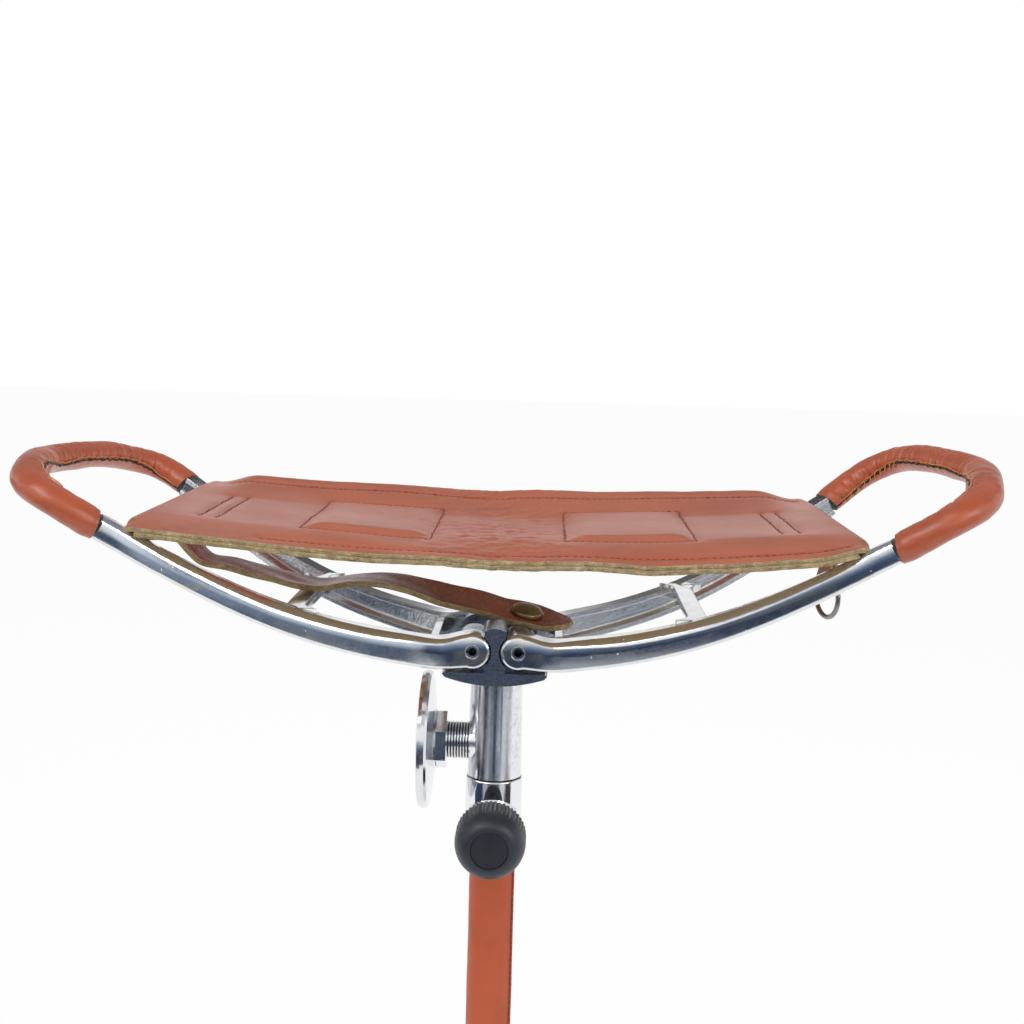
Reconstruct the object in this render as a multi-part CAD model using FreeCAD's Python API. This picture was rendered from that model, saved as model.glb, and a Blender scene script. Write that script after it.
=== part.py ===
import FreeCAD, Part
import math
import os
from FreeCAD import Vector

# Walking stick seat: a telescopic shaft carries a hub, two folding bows and a leather sling.
# Millimetres, +Z up, +X to the sitter's side grips, +Y away from the clamp knob.
# Origin: centre of the rubber ferrule's flat bottom. The shaft's axis is the Z axis.
# Heights named rel_ are counted from the pivot pins' axis, PIVOT_Z above the ground.

os.makedirs("parts", exist_ok=True)

# Overall
PIVOT_Z = 580.0
FIT = 0.05
SOFT_GAP = 0.3
FOLD_SEAM_HALF = 32.0

# Hub casting
PIN_X = 11.5
PIN_R = 3.2
PIN_BORE_R = 2.1
PIN_LENGTH = 25.0
PIN_INSET = 0.8
PIN_SLOT = 0.9
KNUCKLE_R = 9.2
KNUCKLE_GAP = 0.4
HUB_HALF_Y = 41.0
KNUCKLE_THICK = 13.0
KNUCKLE_FACE_INSET = 0.08
KNUCKLE_OVERLAP = 2.0
FIN_TOP = 12.2
FIN_TOP_HALF = 5.3
FIN_CROWN = 1.5
BARREL_SADDLE_Y = 14.5
SADDLE_TOP = 4.0
FLANGE_HALF_X = 26.5
FLANGE_TOP = -10.6
FLANGE_TIP_THICK = 2.5
FLANGE_TIP_TAPER = 1.5
FLANGE_TIP_EDGE = 0.8
FLANGE_BOTTOM = -17.2
NECK_TOP_R = 13.7
NECK_BOTTOM_R = 14.3
NECK_BOTTOM = -74.6
NECK_OVERLAP = 4.0

# Stud for the ground plate, with its thread shown as rings
THREAD_R = 10.0
THREAD_DEPTH = 0.75
THREAD_PITCH = 1.5
STUD_Z = -57.0
STUD_START_X = 13.2
STUD_TIP_X = 33.0
STUD_FLARE_R = 10.6
STUD_FLARE_X = 10.0
STUD_ROOT_LENGTH = 3.0

# Ground plate
PLATE_R = 36.5
PLATE_THICK = 5.5
PLATE_DISH = 2.2
PLATE_FACE_X = 39.6
PLATE_FLAT_R = 16.0
PLATE_RISE_R = 27.0
PLATE_RIM_EASE = 2.4
BOSS_SHOULDER_R = 14.5
BOSS_SHOULDER_LENGTH = 3.5
HEX_ACROSS_CORNERS = 31.0
HEX_START_X = 25.6
HEX_OVERLAP = 4.0

# Telescopic shaft
INNER_TUBE_R = 9.5
INNER_TUBE_WALL = 1.5
INNER_TUBE_TOP = -22.0
INNER_TUBE_BOTTOM = -270.0
OUTER_TUBE_R = 11.2
OUTER_TUBE_BORE_R = 9.9
OUTER_TUBE_TOP = -80.0
BUSH_LENGTH = 26.0
BUSH_LIP = 3.0
COLLAR_R = 15.1
COLLAR_TOP = -75.2
COLLAR_BOTTOM = -114.0
LEATHER_R = 12.9
LEATHER_BOTTOM_Z = 62.0

# Clamp knob
KNOB_Z = -98.8
KNOB_R = 18.2
KNOB_FRONT_Y = 52.5
KNOB_DEPTH = 24.0
KNOB_FACE_R = 10.4
KNOB_SHOULDER_DEPTH = 13.0
KNOB_SHOULDER_STEPS = 6
KNOB_SCREW_COVER = 12.0
KNOB_FLUTES = 48
KNOB_FLUTE_DEPTH = 0.7
KNOB_CAP_R = 9.6
KNOB_CAP_THICK = 1.6
CLAMP_BOSS_R = 13.4
CLAMP_BOSS_ROOT_R = 14.8
CLAMP_BOSS_ROOT_Y = 7.0
CLAMP_BOSS_GAP = 0.6
CLAMP_SCREW_R = 4.0

# Foot
FOOT_COLLAR_R = 13.2
FOOT_COLLAR_HEIGHT = 9.0
FOOT_PLUG_LENGTH = 34.0
FOOT_NOSE_LENGTH = 17.0
SPIKE_R = 4.5
SPIKE_TIP_Z = 7.0
SPIKE_CONE = 14.0
SPIKE_SOCKET = 12.0
SPIKE_TIP_R = 0.8
FERRULE_R = 19.0
FERRULE_TOP_R = 14.0
FERRULE_HEIGHT = 44.0
FERRULE_GAP = 2.0
FERRULE_BASE = 6.0

# Bows: stations of the right bow's arm as
# (x, half width in y, rel height, depth, recess inside, height of the bevel along the top)
ARM_STATIONS = [
    (11.5, 34.6, 0.0, 17.8, 0.6, 2.0),
    (17.5, 34.6, -0.6, 17.0, 0.8, 2.0),
    (26.5, 35.0, -1.8, 15.6, 1.5, 2.4),
    (42.0, 38.0, 0.0, 15.4, 4.5, 3.4),
    (62.0, 43.8, 4.2, 14.8, 6.0, 4.4),
    (84.0, 50.4, 10.4, 14.2, 6.0, 4.6),
    (106.0, 57.6, 18.6, 13.4, 6.0, 4.6),
    (128.0, 65.6, 29.2, 12.8, 6.0, 4.4),
    (149.0, 74.2, 41.3, 12.2, 5.5, 4.0),
    (168.0, 82.2, 53.5, 11.8, 4.0, 3.4),
    (185.4, 88.7, 64.9, 11.4, 0.6, 2.6),
]
ARM_WIDTH = 12.6
ARM_EDGE = 1.9
ARM_BEVEL_LEAN = 0.7
ARM_RIM = 2.6
STRUT_X = 100.0
STRUT_TOP = 22.0
STRUT_HALF_Y = 52.0
STRUT_WIDTH = 9.0
STRUT_PLATE = 3.2
STRUT_WEB = 3.4
STRUT_WEB_DEPTH = 6.5
STRUT_FLARE_R = 12.0
STRUT_FLARE_SHARES = (0.6, 0.17, 0.45)
GUSSET_X = 32.0
GUSSET_THICK = 4.0
GUSSET_TOP = 3.4
GUSSET_BOTTOM = -5.5
GUSSET_HALF_Y = 33.0

# Grip loops: corners of one loop's half as (x, half width in y, rel height, share of the lean).
# The loops are bent by hand: the right one stands higher and reaches further than the left.
GRIP_ROUTE = [
    (182.0, 87.4, 62.8, 0.0),
    (201.7, 97.6, 77.1, 0.5),
    (221.1, 86.9, 86.1, 1.0),
    (229.4, 57.4, 90.9, 1.0),
    (241.4, 12.5, 90.6, 1.0),
]
GRIP_LEAN_X = 2.9
GRIP_LEAN_Z = 4.2
GRIP_REAR_RISE = 2.2
# Oval sections of the grip as (half width, half height)
GRIP_CORE = (4.9, 4.5)
GRIP_PAD = (7.2, 5.8)
GRIP_COVER = (8.7, 7.3)
GRIP_COVER_TRIM = 5.6

# Seat bars and leather sling
BAR_X = 170.0
BAR_REL_Z = 61.5
BAR_R = 4.0
BAR_HALF_Y = 84.0
SLING_HALF_X = BAR_X + 3.0
SLING_HALF_Y = 90.0
SLING_LOOP_HALF_Y = 71.5
SLING_CORNER_X = BAR_X - 0.5
SLING_THICK = 4.6
LEATHER_THICK = 2.3
SLING_SAG = 9.0
REAR_CURL = 6.5
REAR_CURL_START_Y = 40.0
FRONT_DIP = 2.0
FRONT_DIP_START_Y = -50.0
WARP_END_SHARE = 0.6
SLING_Y_STATIONS = (-90.0, -80.0, -68.0, -50.0, -20.0, 15.0, 40.0, 58.0, 72.0, 82.0, 90.0)
FLAP_LEFT_END = 92.0
FLAP_RIGHT_END = 133.0
FLAP_HALF_Y = 66.0
FLAP_BELLY = 3.4

# Retaining strap: its underside as (x, rel height), from the root to the tip
STRAP_UNDERSIDE = [
    (-171.8, 52.0),
    (-167.0, 46.2),
    (-161.5, 40.6),
    (-154.0, 34.6),
    (-140.0, 32.2),
    (-121.0, 27.8),
    (-103.0, 23.9),
    (-90.0, 23.2),
    (-72.0, 26.4),
    (-52.0, 24.4),
    (-30.0, 17.2),
    (-6.0, 12.0),
    (4.0, 9.1),
    (14.5, 7.3),
    (25.0, 5.6),
    (39.0, 5.0),
]
STRAP_THICK = 3.0
STRAP_HALF_Y = 12.5
STRAP_TIP_LENGTH = 13.0
STRAP_TIP_HALF_Y = 3.5
STUD_CAP_X = 14.5
STUD_CAP_R = 8.8
STUD_CAP_HEIGHT = 2.6
STUD_SOCKET_R = 6.2
STUD_SOCKET_HEIGHT = 1.6
STUD_POST_R = 1.8
STUD_TILT_DEG = 9.5
STUD_SEAT_GAP = 0.4

# Ring for carrying
RING_X = BAR_X + 1.5
RING_R = 11.0
RING_WIRE_R = 1.3
RING_TURN_DEG = 20.0
TAB_WIDTH = 11.0
TAB_THICK = 5.0
TAB_EYE_R = 4.2
TAB_DROP = 17.0


def point(x, y, rel_z):
    """A point whose height is counted from the pivot pins."""
    return Vector(x, y, PIVOT_Z + rel_z)


def disc_z(radius, bottom, top, x=0.0, y=0.0):
    """An upright cylinder between two heights above the ground."""
    return Part.makeCylinder(radius, top - bottom, Vector(x, y, bottom))


def rod_y(radius, x, rel_z, start, end):
    """A cylinder along Y."""
    return Part.makeCylinder(radius, end - start, point(x, start, rel_z), Vector(0, 1, 0))


def block(x0, x1, y0, y1, rel_z0, rel_z1):
    return Part.makeBox(x1 - x0, y1 - y0, rel_z1 - rel_z0, point(x0, y0, rel_z0))


def polygon_face(points):
    return Part.Face(Part.makePolygon(points + [points[0]]))


def turned(profile, axis_start, axis):
    """A solid of revolution of a closed polygon."""
    return polygon_face(profile).revolve(axis_start, axis, 360)


def mirrored(shape):
    return shape.mirror(Vector(0, 0, 0), Vector(1, 0, 0))


def join(first, others):
    return first.fuse(others).removeSplitter()


def corner_radii(route):
    """Arc radius at each corner: 0.45 of the shorter run over the tangent of half the turn."""
    radii = []
    for before, here, after in zip(route, route[1:], route[2:]):
        run_in = here - before
        run_out = after - here
        half_turn = run_in.getAngle(run_out) / 2
        radii.append(0.45 * min(run_in.Length, run_out.Length) / math.tan(half_turn))
    return radii


def rounded_path(route, trim=0.0):
    """Straight runs joined by tangent arcs through a list of corners, both ends cut by trim."""
    edges = []
    start = route[0] + (route[1] - route[0]).normalize() * trim
    last = route[-1] + (route[-2] - route[-1]).normalize() * trim
    for i, radius in enumerate(corner_radii(route)):
        before, here, after = route[i], route[i + 1], route[i + 2]
        toward_before = (before - here).normalize()
        toward_after = (after - here).normalize()
        half_turn = (here - before).getAngle(after - here) / 2
        setback = radius * math.tan(half_turn)
        inward = (toward_before + toward_after).normalize()
        arc_start = here + toward_before * setback
        arc_end = here + toward_after * setback
        arc_mid = here + inward * (radius / math.cos(half_turn) - radius)
        edges.append(Part.LineSegment(start, arc_start).toShape())
        edges.append(Part.Arc(arc_start, arc_mid, arc_end).toShape())
        start = arc_end
    edges.append(Part.LineSegment(start, last).toShape())
    return Part.Wire(edges)


def oval_along(route, half_sizes, trim=0.0):
    """An oval bar along a rounded path, its long axis level at the start."""
    half_wide, half_tall = half_sizes
    path = rounded_path(route, trim)
    start = path.Edges[0].Vertexes[0].Point
    along = (route[1] - route[0]).normalize()
    level = Vector(-along.y, along.x, 0).normalize()
    tall = along.cross(level)
    oval = Part.Ellipse(start + level * half_wide, start + tall * half_tall, start)
    sweep = Part.BRepOffsetAPI.MakePipeShell(path)
    sweep.setFrenetMode(False)
    sweep.add(Part.Wire(oval.toShape()))
    sweep.build()
    sweep.makeSolid()
    return sweep.shape()


def threaded_profile(length, root_x):
    """Outline of a threaded stud along X as (x, radius) pairs, from its root outward."""
    count = int((length - THREAD_PITCH) / THREAD_PITCH)
    pairs = []
    for i in range(count):
        x = root_x + i * THREAD_PITCH
        pairs.append((x, THREAD_R))
        pairs.append((x + 0.25 * THREAD_PITCH, THREAD_R))
        pairs.append((x + 0.6 * THREAD_PITCH, THREAD_R - THREAD_DEPTH))
    pairs.append((root_x + length - THREAD_PITCH, THREAD_R))
    pairs.append((root_x + length, THREAD_R - THREAD_PITCH))
    return pairs


def hub_outline(fin_only):
    """The hub's profile in XZ: a boat-shaped flange below, a waisted fin above."""
    tip_low = FLANGE_TOP - FLANGE_TIP_THICK
    top = FIN_TOP if fin_only else SADDLE_TOP
    half = FIN_TOP_HALF if fin_only else PIN_X
    corners = [
        (-half, top - FIN_CROWN),
        (-half, FLANGE_TOP),
        (-FLANGE_HALF_X + FLANGE_TIP_TAPER - 0.3, FLANGE_TOP),
        (-FLANGE_HALF_X, FLANGE_TOP - FLANGE_TIP_EDGE),
        (-FLANGE_HALF_X + FLANGE_TIP_TAPER, tip_low),
    ]
    left = [point(x, 0, z) for x, z in corners]
    right = [point(-x, 0, z) for x, z in reversed(corners)]
    keel = Part.Arc(left[-1], point(0, 0, FLANGE_BOTTOM), right[0]).toShape()
    crown = Part.Arc(right[-1], point(0, 0, top), left[0]).toShape()
    edges = [Part.LineSegment(a, b).toShape() for a, b in zip(left, left[1:])]
    edges.append(keel)
    edges += [Part.LineSegment(a, b).toShape() for a, b in zip(right, right[1:])]
    edges.append(crown)
    return Part.Face(Part.Wire(edges))


def across_hub(face, half_y):
    face.translate(Vector(0, -half_y, 0))
    return face.extrude(Vector(0, 2 * half_y, 0))


def hub_casting():
    knuckle_inner = HUB_HALF_Y - KNUCKLE_THICK
    fins = across_hub(hub_outline(True), HUB_HALF_Y)
    relief_r = KNUCKLE_R + KNUCKLE_GAP
    reliefs = [rod_y(relief_r, x, 0, -HUB_HALF_Y - 1, HUB_HALF_Y + 1) for x in (-PIN_X, PIN_X)]
    fins = fins.cut(reliefs)
    saddle_cut = block(
        -PIN_X, PIN_X, -BARREL_SADDLE_Y, BARREL_SADDLE_Y, SADDLE_TOP - 3, FIN_TOP + 1
    )
    fins = fins.cut(saddle_cut)
    body_half = knuckle_inner - KNUCKLE_GAP
    core = across_hub(hub_outline(False), BARREL_SADDLE_Y)
    solids = [core]
    for side in (-1, 1):
        start, end = sorted((side * (BARREL_SADDLE_Y - 2), side * body_half))
        for x in (-PIN_X, PIN_X):
            solids.append(rod_y(KNUCKLE_R - 0.2, x, 0, start, end))
        solids.append(block(-PIN_X, PIN_X, start, end, FLANGE_TOP - 2, 2))
    neck = Part.makeCone(
        NECK_BOTTOM_R,
        NECK_TOP_R,
        FLANGE_TOP - NECK_OVERLAP - NECK_BOTTOM,
        point(0, 0, NECK_BOTTOM),
    )
    flare = Part.makeCone(
        STUD_FLARE_R, THREAD_R - 0.2, STUD_START_X - STUD_FLARE_X,
        point(-STUD_FLARE_X, 0, STUD_Z), Vector(-1, 0, 0),
    )
    solids += [neck, flare, plate_stud()]
    hub = join(fins, solids)
    bore = disc_z(INNER_TUBE_R, PIVOT_Z + NECK_BOTTOM - 1, PIVOT_Z + INNER_TUBE_TOP)
    return hub.cut([bore] + pin_bores(PIN_R))


def plate_stud():
    root_x = STUD_START_X - STUD_ROOT_LENGTH
    pairs = threaded_profile(STUD_TIP_X - root_x, root_x)
    profile = [point(-x, r, STUD_Z) for x, r in pairs]
    profile.append(point(-STUD_TIP_X, 0, STUD_Z))
    profile.append(point(-root_x, 0, STUD_Z))
    return turned(profile, point(0, 0, STUD_Z), Vector(1, 0, 0))


def pin_span():
    start = HUB_HALF_Y - PIN_INSET
    return start, start - PIN_LENGTH


def pin_bores(radius):
    outer, inner = pin_span()
    bores = []
    for x in (-PIN_X, PIN_X):
        bores.append(rod_y(radius, x, 0, -outer - 2, -inner))
        bores.append(rod_y(radius, x, 0, inner, outer + 2))
    return bores


def hinge_pins():
    """Four hollow slotted spring pins, two for each bow."""
    outer, inner = pin_span()
    pins = []
    for side in (-1, 1):
        start, end = sorted((side * inner, side * outer))
        for x in (-PIN_X, PIN_X):
            pin = rod_y(PIN_R, x, 0, start, end)
            bore = rod_y(PIN_BORE_R, x, 0, start - 1, end + 1)
            slot_x = math.copysign(PIN_R + 1, x)
            slot = block(
                min(x, x + slot_x), max(x, x + slot_x), start - 1, end + 1,
                -PIN_SLOT / 2, PIN_SLOT / 2,
            )
            pins.append(pin.cut([bore, slot]))
    return Part.makeCompound(pins)


def arm_section(centre, along, depth, recess, bevel, side):
    """A channel section: flat outer face, rounded below and bevelled above, recessed inside."""
    sideways = Vector(-along.y, along.x, 0).normalize() * side
    upright = along.cross(sideways) * side
    if upright.z < 0:
        upright = upright * -1
    half = depth / 2
    outer = ARM_WIDTH / 2
    inner = -ARM_WIDTH / 2

    def at(out, up):
        return centre + sideways * out + upright * up

    rim = half - ARM_RIM
    low_start, low_end = at(outer - ARM_EDGE, -half), at(outer, -half + ARM_EDGE)
    top_start, top_end = at(outer, half - bevel), at(outer - ARM_BEVEL_LEAN * bevel, half)
    ease = ARM_EDGE * (1 - math.cos(math.radians(45)))
    crest = at(outer - 0.36 * ARM_BEVEL_LEAN * bevel, half - 0.36 * bevel)
    corners = [
        at(inner, half),
        at(inner, rim),
        at(inner + recess, rim - 0.5),
        at(inner + recess, -rim + 0.5),
        at(inner, -rim),
        at(inner, -half),
    ]
    edges = [
        Part.LineSegment(corners[-1], low_start).toShape(),
        Part.Arc(low_start, at(outer - ease, -half + ease), low_end).toShape(),
        Part.LineSegment(low_end, top_start).toShape(),
        Part.Arc(top_start, crest, top_end).toShape(),
        Part.LineSegment(top_end, corners[0]).toShape(),
    ]
    edges += [Part.LineSegment(a, b).toShape() for a, b in zip(corners, corners[1:])]
    return Part.Wire(edges)


def arm(side):
    """One arm of the right bow; side is -1 for the front arm and 1 for the rear one."""
    centres = [point(x, side * y, z) for x, y, z, depth, recess, bevel in ARM_STATIONS]
    wires = []
    for i, (x, y, z, depth, recess, bevel) in enumerate(ARM_STATIONS):
        before = centres[max(i - 1, 0)]
        after = centres[min(i + 1, len(centres) - 1)]
        along = (after - before).normalize()
        wires.append(arm_section(centres[i], along, depth, recess, bevel, side))
    return Part.makeLoft(wires, True, False)


def knuckle(side):
    """The round end of an arm beyond its pin, with its outer rim eased like the arm's edges."""
    face = HUB_HALF_Y - KNUCKLE_FACE_INSET
    start, end = sorted((side * (HUB_HALF_Y - KNUCKLE_THICK), side * face))
    boss = rod_y(KNUCKLE_R, PIN_X, 0, start, end)
    rim = [e for e in boss.Edges if abs(e.BoundBox.YMin - side * face) < 0.01]
    rim = [e for e in rim if e.BoundBox.YLength < 0.01]
    reach = KNUCKLE_R + 1
    near = block(PIN_X - reach, PIN_X + KNUCKLE_OVERLAP, start - 1, end + 1, -reach, reach)
    return boss.makeFillet(ARM_EDGE, rim).common(near)


def strut():
    """The cross strut: a flat top plate with flared ends and a web below."""
    half = STRUT_WIDTH / 2
    end = STRUT_HALF_Y
    flare = STRUT_FLARE_R
    reach, bow_out, inset = STRUT_FLARE_SHARES
    outline = []
    for sx, sy in ((-1, -1), (1, -1), (1, 1), (-1, 1)):
        corner = (STRUT_X + sx * (half + flare * reach), sy * end)
        middle = (STRUT_X + sx * (half + flare * bow_out), sy * (end - flare * inset))
        neck = (STRUT_X + sx * half, sy * (end - flare))
        outline.append((corner, middle, neck))
    top = STRUT_TOP
    edges = []
    fl, fr, rr, rl = outline
    for first, second in ((fl, fr), (fr, rr), (rr, rl), (rl, fl)):
        across = first[0][1] == second[0][1]
        if across:
            a, b = point(*first[0], top), point(*second[0], top)
            edges.append(Part.LineSegment(a, b).toShape())
            continue
        a = [point(*p, top) for p in first]
        b = [point(*p, top) for p in second]
        edges.append(Part.Arc(a[0], a[1], a[2]).toShape())
        edges.append(Part.LineSegment(a[2], b[2]).toShape())
        edges.append(Part.Arc(b[2], b[1], b[0]).toShape())
    plate = Part.Face(Part.Wire(edges)).extrude(Vector(0, 0, -STRUT_PLATE))
    low = top - STRUT_PLATE
    web = block(
        STRUT_X - STRUT_WEB / 2, STRUT_X + STRUT_WEB / 2, -end, end, low - STRUT_WEB_DEPTH, low
    )
    return [plate, web]


def grip_route(lean):
    """Corners of a grip loop, built on the right; lean is 1 for the right bow, -1 for the left."""
    halves = []
    for end in (-1, 1):
        corners = []
        for x, y, z, share in GRIP_ROUTE:
            rise = GRIP_LEAN_Z + end * GRIP_REAR_RISE * y / GRIP_ROUTE[0][1]
            corners.append(point(x + lean * share * GRIP_LEAN_X, end * y, z + lean * share * rise))
        halves.append(corners)
    return halves[0] + halves[1][::-1]


def bow(lean):
    """A bow, built on the right: two arms, the grip's core, the strut and the inner gusset."""
    gusset = block(
        GUSSET_X - GUSSET_THICK / 2, GUSSET_X + GUSSET_THICK / 2,
        -GUSSET_HALF_Y, GUSSET_HALF_Y, GUSSET_BOTTOM, GUSSET_TOP,
    )
    core = oval_along(grip_route(lean), GRIP_CORE)
    pieces = [arm(1), knuckle(-1), knuckle(1), gusset, core]
    pieces += strut()
    whole = join(arm(-1), pieces)
    cuts = pin_bores(PIN_R + FIT)
    cuts.append(rod_y(BAR_R, BAR_X, BAR_REL_Z, -BAR_HALF_Y, BAR_HALF_Y))
    return whole.cut(cuts)


def widened(half_sizes):
    return tuple(half + FIT for half in half_sizes)


def grip_padding(lean):
    route = grip_route(lean)
    outer = oval_along(route, GRIP_PAD, GRIP_COVER_TRIM)
    return outer.cut(oval_along(route, widened(GRIP_CORE)))


def grip_cover(lean):
    route = grip_route(lean)
    outer = oval_along(route, GRIP_COVER, GRIP_COVER_TRIM)
    return outer.cut(oval_along(route, widened(GRIP_PAD)))


def sling_edge_z(x):
    """Height of the sling's top face over the pins."""
    radius = (SLING_HALF_X ** 2 + SLING_SAG ** 2) / (2 * SLING_SAG)
    rim = BAR_REL_Z + BAR_R + SOFT_GAP + LEATHER_THICK
    return rim - SLING_SAG + radius - math.sqrt(radius ** 2 - x ** 2)


def sling_warp(x, y):
    """Height over the arc: the rear edge curls up and the front edge dips, less at the bars."""
    share = 1 - (1 - WARP_END_SHARE) * (x / SLING_HALF_X) ** 2
    rear = max(0.0, (y - REAR_CURL_START_Y) / (SLING_HALF_Y - REAR_CURL_START_Y))
    front = max(0.0, (y - FRONT_DIP_START_Y) / (-SLING_HALF_Y - FRONT_DIP_START_Y))
    return share * (REAR_CURL * rear ** 1.5 - FRONT_DIP * front ** 1.5)


def sling_band(x0, x1, lift, thick, half_y):
    """A stretch of the sagging sling between two x values, lift below its top face."""
    share = half_y / SLING_HALF_Y

    def edge(x, drop):
        curve = Part.BSplineCurve()
        z = sling_edge_z(x) - drop
        stations = [y * share for y in SLING_Y_STATIONS]
        curve.interpolate([point(x, y, z + sling_warp(x, y)) for y in stations])
        return curve.toShape()

    sections = []
    for i in range(5):
        x = x0 + (x1 - x0) * i / 4
        top, bottom = edge(x, lift), edge(x, lift + thick)
        sides = []
        for end in (0, -1):
            pair = (top.Vertexes[end].Point, bottom.Vertexes[end].Point)
            sides.append(Part.LineSegment(*pair).toShape())
        sections.append(Part.Wire([top, sides[1], bottom, sides[0]]))
    return Part.makeLoft(sections, True, False)


def seat_panel():
    """The right half of the sling, wrapped round its bar."""
    band = sling_band(FOLD_SEAM_HALF + SOFT_GAP / 2, SLING_HALF_X, 0, SLING_THICK, SLING_HALF_Y)
    bore_r = BAR_R + SOFT_GAP
    loop_r = bore_r + LEATHER_THICK
    loop = rod_y(loop_r, BAR_X, BAR_REL_Z, -SLING_LOOP_HALF_Y, SLING_LOOP_HALF_Y)
    cuts = [rod_y(bore_r, BAR_X, BAR_REL_Z, -SLING_HALF_Y - 1, SLING_HALF_Y + 1)]
    for y0, y1 in ((-SLING_HALF_Y, -SLING_LOOP_HALF_Y), (SLING_LOOP_HALF_Y, SLING_HALF_Y)):
        cuts.append(block(SLING_CORNER_X, SLING_HALF_X + 1, y0, y1, BAR_REL_Z, BAR_REL_Z + 10))
    return band.fuse(loop).cut(cuts).removeSplitter()


def seat_flap(end_x):
    """The leather's return under the right half, from the loop to its sewn edge."""
    loop_r = BAR_R + SOFT_GAP + LEATHER_THICK
    start_x = BAR_X - loop_r - SOFT_GAP
    start_z = BAR_REL_Z - LEATHER_THICK
    end_z = sling_edge_z(end_x) - SLING_THICK
    mid_x = (start_x + end_x) / 2
    mid_z = (start_z + end_z) / 2 - FLAP_BELLY

    def arc(lift):
        points = [(start_x, start_z), (mid_x, mid_z), (end_x, end_z)]
        return Part.Arc(*[point(x, -FLAP_HALF_Y, z - lift) for x, z in points]).toShape()

    top = arc(0.02)
    bottom = arc(LEATHER_THICK)
    sides = []
    for i in (0, -1):
        pair = (top.Vertexes[i].Point, bottom.Vertexes[i].Point)
        sides.append(Part.LineSegment(*pair).toShape())
    face = Part.Face(Part.Wire(Part.__sortEdges__([top, sides[1], bottom, sides[0]])))
    flap = face.extrude(Vector(0, 2 * FLAP_HALF_Y, 0))
    above = sling_band(FOLD_SEAM_HALF, SLING_HALF_X, -1, SLING_THICK + 1 + FIT, SLING_HALF_Y)
    return flap.cut(above)


def strap_curve(lift):
    """The strap's route in XZ, offset by lift along its own normal."""
    lowest = [point(x, 0, z) for x, z in STRAP_UNDERSIDE]
    points = []
    for i, here in enumerate(lowest):
        along = lowest[min(i + 1, len(lowest) - 1)] - lowest[max(i - 1, 0)]
        normal = Vector(-along.z, 0, along.x).normalize()
        points.append(here + normal * lift)
    curve = Part.BSplineCurve()
    curve.interpolate(points)
    return curve.toShape()


def retaining_strap():
    low = strap_curve(0)
    high = strap_curve(STRAP_THICK)
    ends = []
    for i in (0, -1):
        ends.append(Part.LineSegment(low.Vertexes[i].Point, high.Vertexes[i].Point).toShape())
    face = Part.Face(Part.Wire(Part.__sortEdges__([low, ends[1], high, ends[0]])))
    face.translate(Vector(0, -STRAP_HALF_Y, 0))
    strap = face.extrude(Vector(0, 2 * STRAP_HALF_Y, 0))
    tip_x = STRAP_UNDERSIDE[-1][0]
    neck_x = tip_x - STRAP_TIP_LENGTH
    root_x = STRAP_UNDERSIDE[0][0] - STRAP_THICK
    plan = [
        Part.LineSegment(point(root_x, -STRAP_HALF_Y, 0), point(neck_x, -STRAP_HALF_Y, 0)),
        Part.LineSegment(point(neck_x, -STRAP_HALF_Y, 0), point(tip_x - 3, -STRAP_TIP_HALF_Y, 0)),
        Part.Arc(
            point(tip_x - 3, -STRAP_TIP_HALF_Y, 0),
            point(tip_x, 0, 0),
            point(tip_x - 3, STRAP_TIP_HALF_Y, 0),
        ),
        Part.LineSegment(point(tip_x - 3, STRAP_TIP_HALF_Y, 0), point(neck_x, STRAP_HALF_Y, 0)),
        Part.LineSegment(point(neck_x, STRAP_HALF_Y, 0), point(root_x, STRAP_HALF_Y, 0)),
        Part.LineSegment(point(root_x, STRAP_HALF_Y, 0), point(root_x, -STRAP_HALF_Y, 0)),
    ]
    outline = Part.Face(Part.Wire([e.toShape() for e in plan]))
    return strap.common(outline.extrude(Vector(0, 0, FIN_TOP + BAR_REL_Z)))


def strap_height(x):
    """Height of the strap's underside at x, by its two neighbouring points."""
    for (x0, z0), (x1, z1) in zip(STRAP_UNDERSIDE, STRAP_UNDERSIDE[1:]):
        if x0 <= x <= x1:
            return z0 + (z1 - z0) * (x - x0) / (x1 - x0)
    return STRAP_UNDERSIDE[-1][1]


def strap_frame():
    """Centre of the press stud on the strap's top face, and its tilted axis."""
    tilt = math.radians(STUD_TILT_DEG)
    axis = Vector(math.sin(tilt), 0, math.cos(tilt))
    low = point(STUD_CAP_X, 0, strap_height(STUD_CAP_X))
    return low, axis


def strap_stud_cap():
    low, axis = strap_frame()
    base = low + axis * (STRAP_THICK + STUD_SEAT_GAP)
    rim = Part.makeCylinder(STUD_CAP_R, 0.9, base, axis)
    dome_r = (STUD_CAP_R ** 2 + STUD_CAP_HEIGHT ** 2) / (2 * STUD_CAP_HEIGHT)
    ball = Part.makeSphere(dome_r, base + axis * (0.9 + STUD_CAP_HEIGHT - dome_r))
    inside = Part.makeCylinder(STUD_CAP_R, STUD_CAP_HEIGHT + 2, base + axis * 0.9, axis)
    return rim.fuse(ball.common(inside)).removeSplitter()


def strap_stud_socket():
    low, axis = strap_frame()
    top = low - axis * STUD_SEAT_GAP
    body = Part.makeCylinder(STUD_SOCKET_R, STUD_SOCKET_HEIGHT, top, axis * -1)
    hole = Part.makeCylinder(STUD_SOCKET_R * 0.45, STUD_SOCKET_HEIGHT, top, axis * -1)
    return body.cut(hole)


def strap_with_holes(strap):
    low, axis = strap_frame()
    post = Part.makeCylinder(STUD_POST_R + FIT, 3 * STRAP_THICK, low - axis * STRAP_THICK, axis)
    return strap.cut(post)


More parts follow.
